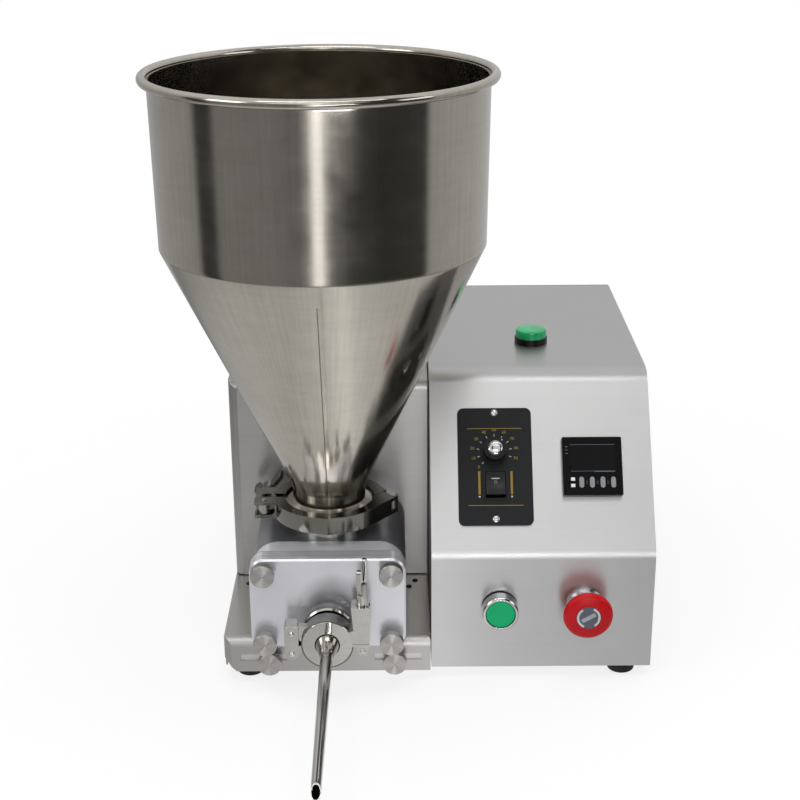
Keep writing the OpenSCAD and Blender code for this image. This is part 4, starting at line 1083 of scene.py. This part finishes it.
@dataclass
class Clamps(Assembly):
    """The two pipe clamps with their hinges, swing bolts and wing nuts."""

    face_out: float = 7.02
    dish: tuple = ((9.9, 0), (19.9, 0), (19.5, 0.45), (10.2, 1.5), (9.9, 1.4))
    # A thin dark ring round the dish's edge: painted shadow along the clamp's outline.
    shadow_ring: tuple = ((19.9, 0), (20.6, 0), (20.6, 0.12), (19.9, 0.12))
    rivet: tuple = ((2.3, 0), (2.2, 0.3), (1.6, 0.75), (0.7, 0.95))
    rivets: tuple = ((-28.0, -44.6, -8.6), (-28.0, -44.6, 9.1), (27.6, -44.6, -6.4))

    def build(self) -> None:
        """Builds the cast clamp pieces from their solids, with rounded edges."""
        for node, finish in (("hopper_clamp_front", CLAMP), ("hopper_clamp_rear", CLAMP),
                             ("nozzle_clamp_upper", BRIGHT_CLAMP), ("nozzle_clamp_lower", BRIGHT_CLAMP),
                             ("clamp_hinges", BRIGHT_CLAMP)):
            self.reskin(node, node + "_cast", 0.45, finish, "clamp_steel", 3)
        for nut, finish in (("hopper_wing_nut", CLAMP), ("nozzle_wing_nut", BRIGHT_CLAMP)):
            self.reskin(nut, nut + "_cast", 0.7, finish, "clamp_steel", 3, nut)
        self.reskin("swing_bolts", "swing_bolts_turned", 0.3, TURNED, "bright_steel")
        face = Facing.FRONT.at(PUMP_X, NOZZLE_JOINT_Y - self.face_out, NOZZLE_Z)
        for name, profile, finish in (("nozzle_clamp_face", self.dish, BRIGHT_CLAMP),
                                      ("nozzle_clamp_shadow_ring", self.shadow_ring, WELD_AND_SHADOW)):
            self.dress(lathe(name, profile, face, 96, closed=True), finish, "clamp_steel")
        for i, (x, y, z) in enumerate(self.rivets):
            at = Facing.FRONT.at(PUMP_X + x, y, NOZZLE_Z + z)
            self.dress(lathe(f"clamp_rivet_{i + 1}", self.rivet, at, 32), CHROME, "bright_steel")
        self.paint(POLISHED, "pump_ferrules")
        self.paint(SILICONE, "gaskets")


@dataclass
class Nozzle(Assembly):
    """The filling tube with its flange, short cone and slanting end."""

    edge: float = 0.15

    def build(self) -> None:
        """Rounds the solid's edges a little and polishes it."""
        self.reskin("nozzle", "nozzle_tube", self.edge, POLISHED, "polished_steel")


@dataclass
class PanelFace(Assembly):
    """A sub-assembly on the sloped panel, with thin print on its face."""

    print_out: float = 1.98
    print_slot: str = "black_plate"
    print_ink: Finish = GOLD_INK
    number_size: float = 3.64

    def strip(self, name: str, u: float, v: float, wide: float, high: float, turn: float = 0.0,
              ink: Finish | None = None) -> None:
        """Prints one thin bar, at a place on the panel and with a turn in degrees."""
        bar = plate(name, wide, high, 0, 0.06, on_panel(u, v, self.print_out) @ spun(turn))
        self.dress(bar, ink or self.print_ink, self.print_slot)

    def number(self, name: str, text: str, u: float, v: float) -> None:
        """Prints a plain number.

        Args:
            name: The piece's name.
            text: The number.
            u: Its middle across the panel.
            v: Its middle up the slope.
        """
        deselect()
        bpy.ops.object.text_add()
        letters = bpy.context.object.data
        letters.body = text
        letters.size = self.number_size * MM
        letters.align_x = "CENTER"
        letters.align_y = "CENTER"
        letters.extrude = 0.03 * MM
        letters.resolution_u = 2
        bpy.ops.object.convert(target="MESH")
        piece = named(name)
        outward(piece)
        settle(piece, on_panel(u, v, self.print_out))
        self.dress(piece, self.print_ink, self.print_slot)


@dataclass
class SpeedControl(PanelFace):
    """The speed controller: printed plate, dial, knob and rocker switch."""

    centre_u: float = 52.2
    knob: tuple = (51.8, 84.3)
    rocker: tuple = (52.2, 56.9)
    dial_r: float = 15.5
    tick: tuple = (2.0, 0.45)
    tick_at: float = 0.86
    number_at: float = 1.16
    first_deg: float = 225.0
    step_deg: float = 27.0
    bar: tuple = (58.6, 1.8, 19.0)
    bar_end: tuple = (47.2, 1.3, 1.3)
    bar_du: float = 13.0
    rule: tuple = (44.0, 0.5)
    rules: tuple = (("print_rule_low", 40.0), ("print_rule_high", 103.5))
    cap: tuple = ((5.9, 15.0), (5.9, 15.9), (5.2, 16.5), (3.9, 16.9), (2.6, 16.7), (1.2, 16.3))
    pointer: tuple = (0.9, 3.4, 0.3, 0.25)
    pointer_at: tuple = (0, 7.4, 15.0)
    pointer_deg: float = -40.0
    rocker_w: float = -2.2
    rocker_deg: float = -8.0
    rocker_face: tuple = (0, 4.2, 5.88)
    rocker_face_deg: float = 8.7
    rocker_bar: tuple = (6.4, 0.8, 0, 0.08)
    rocker_ring: tuple = ((0.9, 0.0), (0.9, 0.08), (1.3, 0.08), (1.3, 0.0))
    screw_r: float = 3.0
    screw_h: float = 1.5
    screw_w: float = 1.95
    screws: tuple = ((52.2, 116.5), (52.0, 28.9))

    def build(self) -> None:
        """Builds the controller's face."""
        self.reskin("controller_plate", "controller_face", 0.4, PLATE_FILM, "black_plate")
        self.paint(BLACK_ABS, "controller_case")
        self._dial()
        self._knob()
        self._rocker()
        for i, (u, v) in enumerate(self.screws):
            at = on_panel(u, v, self.screw_w)
            head = screw(f"plate_screw_{i + 1}", self.screw_r, self.screw_h, at, slots=1)
            self.dress(head, CHROME, "bright_steel")

    def _round_knob(self, share: float, degrees: float) -> tuple[float, float]:
        """Gives a place at that share of the dial's radius from the knob."""
        r, a = self.dial_r * share, math.radians(degrees)
        return self.knob[0] + r * math.cos(a), self.knob[1] + r * math.sin(a)

    def _dial(self) -> None:
        """Prints the ring of ticks, the plain numbers 0 to 90 and the bars round them."""
        for i in range(10):
            turn = self.first_deg - self.step_deg * i
            self.strip(f"dial_tick_{i}", *self._round_knob(self.tick_at, turn), *self.tick, turn, WHITE_INK)
            self.number(f"dial_number_{i * 10}", str(i * 10), *self._round_knob(self.number_at, turn))
        for side in (-1, 1):
            u = self.rocker[0] + side * self.bar_du
            self.strip(f"print_bar_{side + 1}", u, *self.bar)
            self.strip(f"print_end_{side + 1}", u, *self.bar_end, ink=WHITE_INK)
        for name, v in self.rules:
            self.strip(name, self.centre_u, v, *self.rule)

    def _knob(self) -> None:
        """Builds the fluted knob with its bright cap and pointer."""
        at = on_panel(*self.knob)
        self.reskin("speed_knob", "knob_body", 0.35, BLACK_ABS, "black_plastic", body="speed_knob")
        self.dress(lathe("knob_cap", self.cap, at, 48), CHROME, "black_plastic", "speed_knob")
        line = plate("knob_pointer", *self.pointer,
                     at @ spun(self.pointer_deg) @ shifted(*self.pointer_at), 0.05)
        self.dress(line, WHITE_INK, "black_plastic", "speed_knob")

    def _rocker(self) -> None:
        """Builds the rocker with its two plain marks, a bar and a ring."""
        self.reskin("run_rocker", "rocker_cap", 0.4, BLACK_ABS, "black_plastic", body="run_rocker")
        pivot = on_panel(*self.rocker, self.rocker_w) @ tipped(self.rocker_deg)
        face = pivot @ shifted(*self.rocker_face) @ tipped(self.rocker_face_deg)
        bar = plate("rocker_bar", *self.rocker_bar, face)
        self.dress(bar, WHITE_INK, "black_plastic", "run_rocker")
        ring = lathe("rocker_ring", self.rocker_ring, face @ shifted(0, -3.0, 0), 32, closed=True)
        self.dress(ring, KEY_GREY, "black_plastic", "run_rocker")


@dataclass
class Timer(PanelFace):
    """The square panel timer with its window, keys and small buttons."""

    print_out: float = 5.98
    print_slot: str = "black_plastic"
    print_ink: Finish = DISC_GREY
    centre: tuple = (130.2, 71.0)
    frame_lines: tuple = ((0.0, 17.6, 36.0, 0.35), (-8.5, -4.3, 18.0, 0.35), (9.5, -4.5, 17.0, 0.9))
    dash_u: float = -20.6
    dash: tuple = (1.8, 0.7)
    dashes_v: tuple = (16.0, 13.2, 10.4)
    dot_v: float = -13.5
    dot_dv: float = 0.8
    dot: tuple = (1.5, 0.4)
    dots_u: tuple = (-4.95, 3.55, 12.05)

    def build(self) -> None:
        """Builds the timer's face."""
        self.reskin("timer_case", "timer_bezel", 0.35, TIMER_ABS, "black_plastic")
        self.paint(WINDOW, "timer_window")
        self._print()
        for i in range(4):
            name = f"timer_key_{i + 1}"
            self.reskin(name, name + "_cap", 0.5, KEY_GREY, "grey_plastic", 3, name)
        for i in range(2):
            name = f"timer_button_{i + 1}"
            self.reskin(name, name + "_cap", 0.35, WHITE_ABS, "white_plastic", 2, name)

    def _print(self) -> None:
        """Prints the thin frame lines and dashes round the window and between the keys."""
        bars = list(self.frame_lines) + [(self.dash_u, v, *self.dash) for v in self.dashes_v]
        bars += [(u, self.dot_v + side * self.dot_dv, *self.dot) for u in self.dots_u for side in (-1, 1)]
        for i, (u, v, wide, high) in enumerate(bars):
            self.strip(f"timer_print_{i}", self.centre[0] + u, self.centre[1] + v, wide, high)


@dataclass
class PushButtons(Assembly):
    """The start button, the mushroom stop button and the signal lamp."""

    start: tuple = (55.0, 0.0, 65.0)
    stop: tuple = (124.0, 0.0, 67.0)
    lamp: tuple = (89.4, 162.5, CABINET_TOP)
    gasket: tuple = ((14.0, 0.02), (14.4, 0.02), (14.4, 1.2), (14.0, 1.2))
    start_cap: tuple = ((11.7, 9.4), (11.7, 12.9), (11.3, 13.5), (10.4, 13.8), (8.0, 13.7), (3.0, 13.6))
    mushroom: tuple = ((6.55, 11.5), (10.0, 11.5), (17.4, 15.6), (19.2, 17.2), (19.8, 19.0), (19.5, 20.6),
                       (18.4, 21.9), (16.8, 22.7), (12.0, 23.8), (10.6, 24.0), (10.1, 23.8), (9.9, 23.4),
                       (0.3, 23.4), (0.3, 20.1), (6.55, 20.1))
    disc: tuple = ((9.7, 23.35), (9.7, 23.55), (9.4, 23.65), (1.0, 23.65))
    disc_top: float = 23.64
    bar: tuple = (12.0, 3.4, 0, 0.06)
    bar_deg: float = 30.0
    arc_r: float = 8.5
    arc_top: float = 23.68
    arc_w: float = 1.7
    arc_deg: float = 120.0
    arc_middles: tuple = (125.0, 305.0)
    ring: tuple = ((13.3, 0), (14.0, 0), (14.0, 5.2), (13.6, 5.6), (13.3, 5.6))
    lens: tuple = ((13.2, 0.2), (13.2, 10.4), (12.6, 11.9), (11.4, 12.6), (9.0, 13.0), (4.0, 13.35))
    lamp_nut: tuple = ((11.0, -5.5), (13.6, -5.5), (13.6, -1.5), (11.0, -1.5))
    lamp_body: tuple = ((11.0, 0.1), (11.0, -24.0), (9.0, -26.0))

    def build(self) -> None:
        """Builds the buttons and the lamp."""
        self._start()
        self._stop()
        self._lamp()

    def _start(self) -> None:
        """Builds the flush start button in its bright bezel."""
        at = Facing.FRONT.at(*self.start)
        self.reskin("start_bezel", "start_bezel_chrome", 0.3, CHROME, "bright_steel")
        self.dress(lathe("start_gasket", self.gasket, at, closed=True), RUBBER, "black_rubber")
        cap = lathe("start_cap", self.start_cap, at)
        self.dress(cap, GREEN_ABS, "green_plastic", "start_button", ("start_button",))

    def _stop(self) -> None:
        """Builds the mushroom head with its printed disc."""
        at = Facing.FRONT.at(*self.stop)
        self.reskin("stop_collar", "stop_collar_chrome", 0.3, CHROME, "bright_steel")
        self.paint(CHROME, "stop_stem")
        head = lathe("stop_mushroom", self.mushroom, at, 96, closed=True)
        self.dress(head, RED_ABS, "red_plastic", "stop_head", ("stop_head",))
        self.dress(lathe("stop_disc", self.disc, at), DISC_GREY, "red_plastic", "stop_head")
        bar = plate("stop_bar", *self.bar, at @ shifted(0, 0, self.disc_top) @ spun(self.bar_deg))
        self.dress(bar, STOP_PRINT, "red_plastic", "stop_head")
        for i, middle in enumerate(self.arc_middles):
            self._arc(f"stop_arrow_{i}", at, middle)

    def _arc(self, name: str, at: Matrix, middle: float) -> None:
        """Prints one of the disc's two turning arrows, as a plain arc.

        Args:
            name: The piece's name.
            at: The button's place.
            middle: Where the arc's middle is, in degrees round the disc.
        """
        deselect()
        bpy.ops.mesh.primitive_plane_add(size=1.0)
        piece = named(name)
        piece.scale = (self.arc_w * MM, 0.08 * MM, 1.0)
        piece.rotation_euler = (math.pi / 2, 0, 0)
        piece.location = (self.arc_r * MM, 0, self.arc_top * MM)
        settle(piece)
        edit(settle(piece, spun(middle - self.arc_deg / 2)))
        bpy.ops.mesh.spin(steps=20, angle=math.radians(self.arc_deg), center=(0, 0, 0), axis=(0, 0, 1))
        close()
        outward(piece)
        self.dress(settle(piece, at), WHITE_INK, "red_plastic", "stop_head")

    def _lamp(self) -> None:
        """Builds the signal lamp: black ring, green lens without its ribs, and nut and body below."""
        at = Facing.UP.at(*self.lamp)
        self.dress(lathe("lamp_ring", self.ring, at, closed=True), BLACK_ABS, "green_lens")
        self.dress(lathe("lamp_lens", self.lens, at), GREEN_LENS, "green_lens", nodes=("signal_lamp",))
        self.dress(lathe("lamp_nut", self.lamp_nut, at, 6, closed=True), BLACK_ABS, "green_lens")
        self.dress(lathe("lamp_body", self.lamp_body, at, 48), BLACK_ABS, "green_lens")


# --------------------------------------------------------------------------- studio
# What every ray but the camera's meets low down: bearing in degrees from the front towards the right,
# and how bright the wall is there.
ROOM = ((-180, 0.46), (-92, 0.33), (-87, 0.05), (-75, 0.05), (-71, 0.24), (-30, 0.22), (-12, 0.16),
        (-6, 0.36), (-2.5, 1.6), (1.5, 1.6), (5, 0.40), (9, 0.16), (22, 0.055), (45, 0.035), (76, 0.05),
        (80, 0.40), (180, 0.58))
# The ceiling by bearing: dark to the right of the front, where the cabinet's round edge looks.
CEILING = ((-180, 0.78), (19, 0.78), (27, 0.05), (70, 0.05), (80, 0.78), (180, 0.78))
# How steeply a ray has to rise to see only ceiling.
CEILING_RISE = 0.75
# The floor's brightness from left to right, in metres: brightest by the cabinet's left wall.
FLOOR_BAND = ((-0.42, 1.0), (-0.30, 0.88), (-0.20, 0.82), (-0.09, 1.0), (-0.03, 1.2), (0.0, 1.35),
              (0.03, 1.4), (0.06, 1.15), (0.11, 1.0), (0.2, 0.88))
# Name, place, size, watts, and whether polished metal shows the lamp.
LAMPS = (("overhead", (0.0, -0.2, 2.0), (1.6, 1.6), 18.0, False),
         ("left_box", (-1.6, -1.0, 1.1), (0.8, 0.8), 5.0, True),
         ("right_box", (1.7, -0.9, 0.9), (0.8, 0.8), 3.0, True),
         ("high_tube", (0.0, -0.70, 1.95), (1.8, 0.12), 5.6, True),
         ("low_tube", (0.0, -1.50, 1.26), (1.8, 0.10), 1.3, True),
         ("knee_tube", (0.25, -1.50, 0.32), (0.6, 0.06), 2.2, True))


@dataclass
class Studio:
    """The room, the pale floor, the soft lights and the camera."""

    floor_r: float = 0.85
    floor_drop: float = 0.0004
    floor_near: float = 0.66
    floor_far: float = 0.25
    eye: tuple = (-26.81, -1107.77, 663.68)
    look: tuple = (0.002113, 0.935051, -0.354506)
    level: tuple = (0.999974, -0.004441, -0.005753)
    lens: float = 69.70
    aim: tuple = (0, 0, 0.2)

    def build(self) -> None:
        """Sets the scene around the machine."""
        self._world()
        self._floor()
        for name, at, size, power, shines in LAMPS:
            self._lamp(name, Vector(at), size, power, shines)
        self._camera()
        bpy.context.scene.view_settings.view_transform = "Standard"

    def _world(self) -> None:
        """Sets what stands all round: white to the camera, a grey room by bearing to other rays."""
        world = bpy.data.worlds.new("studio")
        world.use_nodes = True
        bpy.context.scene.world = world
        s = NodeWork(world.node_tree)
        split = s.add("SeparateXYZ", {0: s.add("TexCoord", out="Generated")}).node.outputs
        front = s.add("Math", {0: split[1], 1: -1.0}, operation="MULTIPLY")
        bearing = s.add("Math", {0: split[0], 1: front}, operation="ARCTAN2")
        sides = [[(math.radians(at), level) for at, level in levels] for levels in (ROOM, CEILING)]
        walls, ceiling = (s.level_at(bearing, levels, 2 * math.pi) for levels in sides)
        rise = s.add("MapRange", {0: split[2], 1: 0.0, 2: CEILING_RISE, 3: 0.0, 4: 1.0})
        room = s.add("Mix", {0: rise, 2: walls, 3: ceiling})
        seen = s.add("Mix", {0: s.add("LightPath", out="Is Camera Ray"), 2: room, 3: 1.0})
        s.join(s.nodes["Background"], "Strength", seen)
        s.join(s.nodes["Background"], "Color", (1, 1, 1, 1))

    def _floor(self) -> None:
        """Lays a round pale floor that keeps a light shadow and is brightest by the machine."""
        deselect()
        bpy.ops.mesh.primitive_circle_add(vertices=96, radius=self.floor_r, fill_type="NGON",
                                          location=(0, 0, -self.floor_drop))
        floor = named("studio_floor")
        s = Shader("pale_floor")
        s.surface(color=linear("#F2F2F2"), rough=0.8)
        at = s.add("TexCoord", out="Object")
        reach = s.add("VectorMath", {0: at}, 1, operation="LENGTH")
        band = s.level_at(s.add("SeparateXYZ", {0: at}), FLOOR_BAND, 1.0)
        fade = s.add("MapRange", {0: reach, 1: 0.3, 2: 0.7, 3: self.floor_near, 4: self.floor_far})
        near = s.add("Math", {0: fade, 1: band}, operation="MULTIPLY")
        lit, glow = (s.add("Emission", {"Color": (1, 1, 1, 1), "Strength": level}) for level in (near, 1.0))
        white = s.add("MapRange", {0: reach, 1: 0.4, 2: 0.75, 3: 0.8, 4: 1.0})
        seen = s.add("MixShader", {0: white, 1: s.principled.outputs[0], 2: glow})
        mix = s.add("MixShader", {0: s.add("LightPath", out="Is Camera Ray"), 1: lit, 2: seen})
        s.join(s.nodes["Material Output"], 0, mix)
        floor.data.materials.append(s.material)

    def _lamp(self, name: str, at: Vector, size: tuple[float, float], power: float, shines: bool) -> None:
        """Hangs one rectangular lamp that faces the machine.

        Args:
            name: The lamp's name.
            at: Its place in metres.
            size: Its width and height.
            power: Its power in watts.
            shines: Whether polished metal shows it.
        """
        lamp = bpy.data.lights.new(name, "AREA")
        lamp.shape = "RECTANGLE"
        lamp.size, lamp.size_y = size
        lamp.energy = power
        box = bpy.data.objects.new(name, lamp)
        bpy.context.scene.collection.objects.link(box)
        box.location = at
        box.rotation_euler = (Vector(self.aim) - at).to_track_quat("-Z", "Y").to_euler()
        box.visible_camera = False
        box.visible_glossy = shines

    def _camera(self) -> None:
        """Sets the camera at eye height in front of the pump."""
        camera = bpy.data.objects.new("camera", bpy.data.cameras.new("camera"))
        bpy.context.scene.collection.objects.link(camera)
        camera.data.sensor_width = 36.0
        camera.data.lens = self.lens
        camera.data.clip_start = 0.01
        forward = Vector(self.look).normalized()
        right = Vector(self.level)
        right = (right - forward * right.dot(forward)).normalized()
        turn = Matrix((right, right.cross(forward), -forward)).transposed().to_4x4()
        camera.matrix_world = Matrix.Translation(place(*self.eye)) @ turn
        bpy.context.scene.camera = camera


def main() -> None:
    """Builds the sub-assemblies in order."""
    logging.basicConfig(level=logging.INFO, format="%(name)s %(message)s")
    Studio().build()
    for part in (SheetWork(), Pump(), Hopper(), Clamps(), Nozzle(), SpeedControl(), Timer(), PushButtons()):
        part.build()


if __name__ == "__main__":
    main()
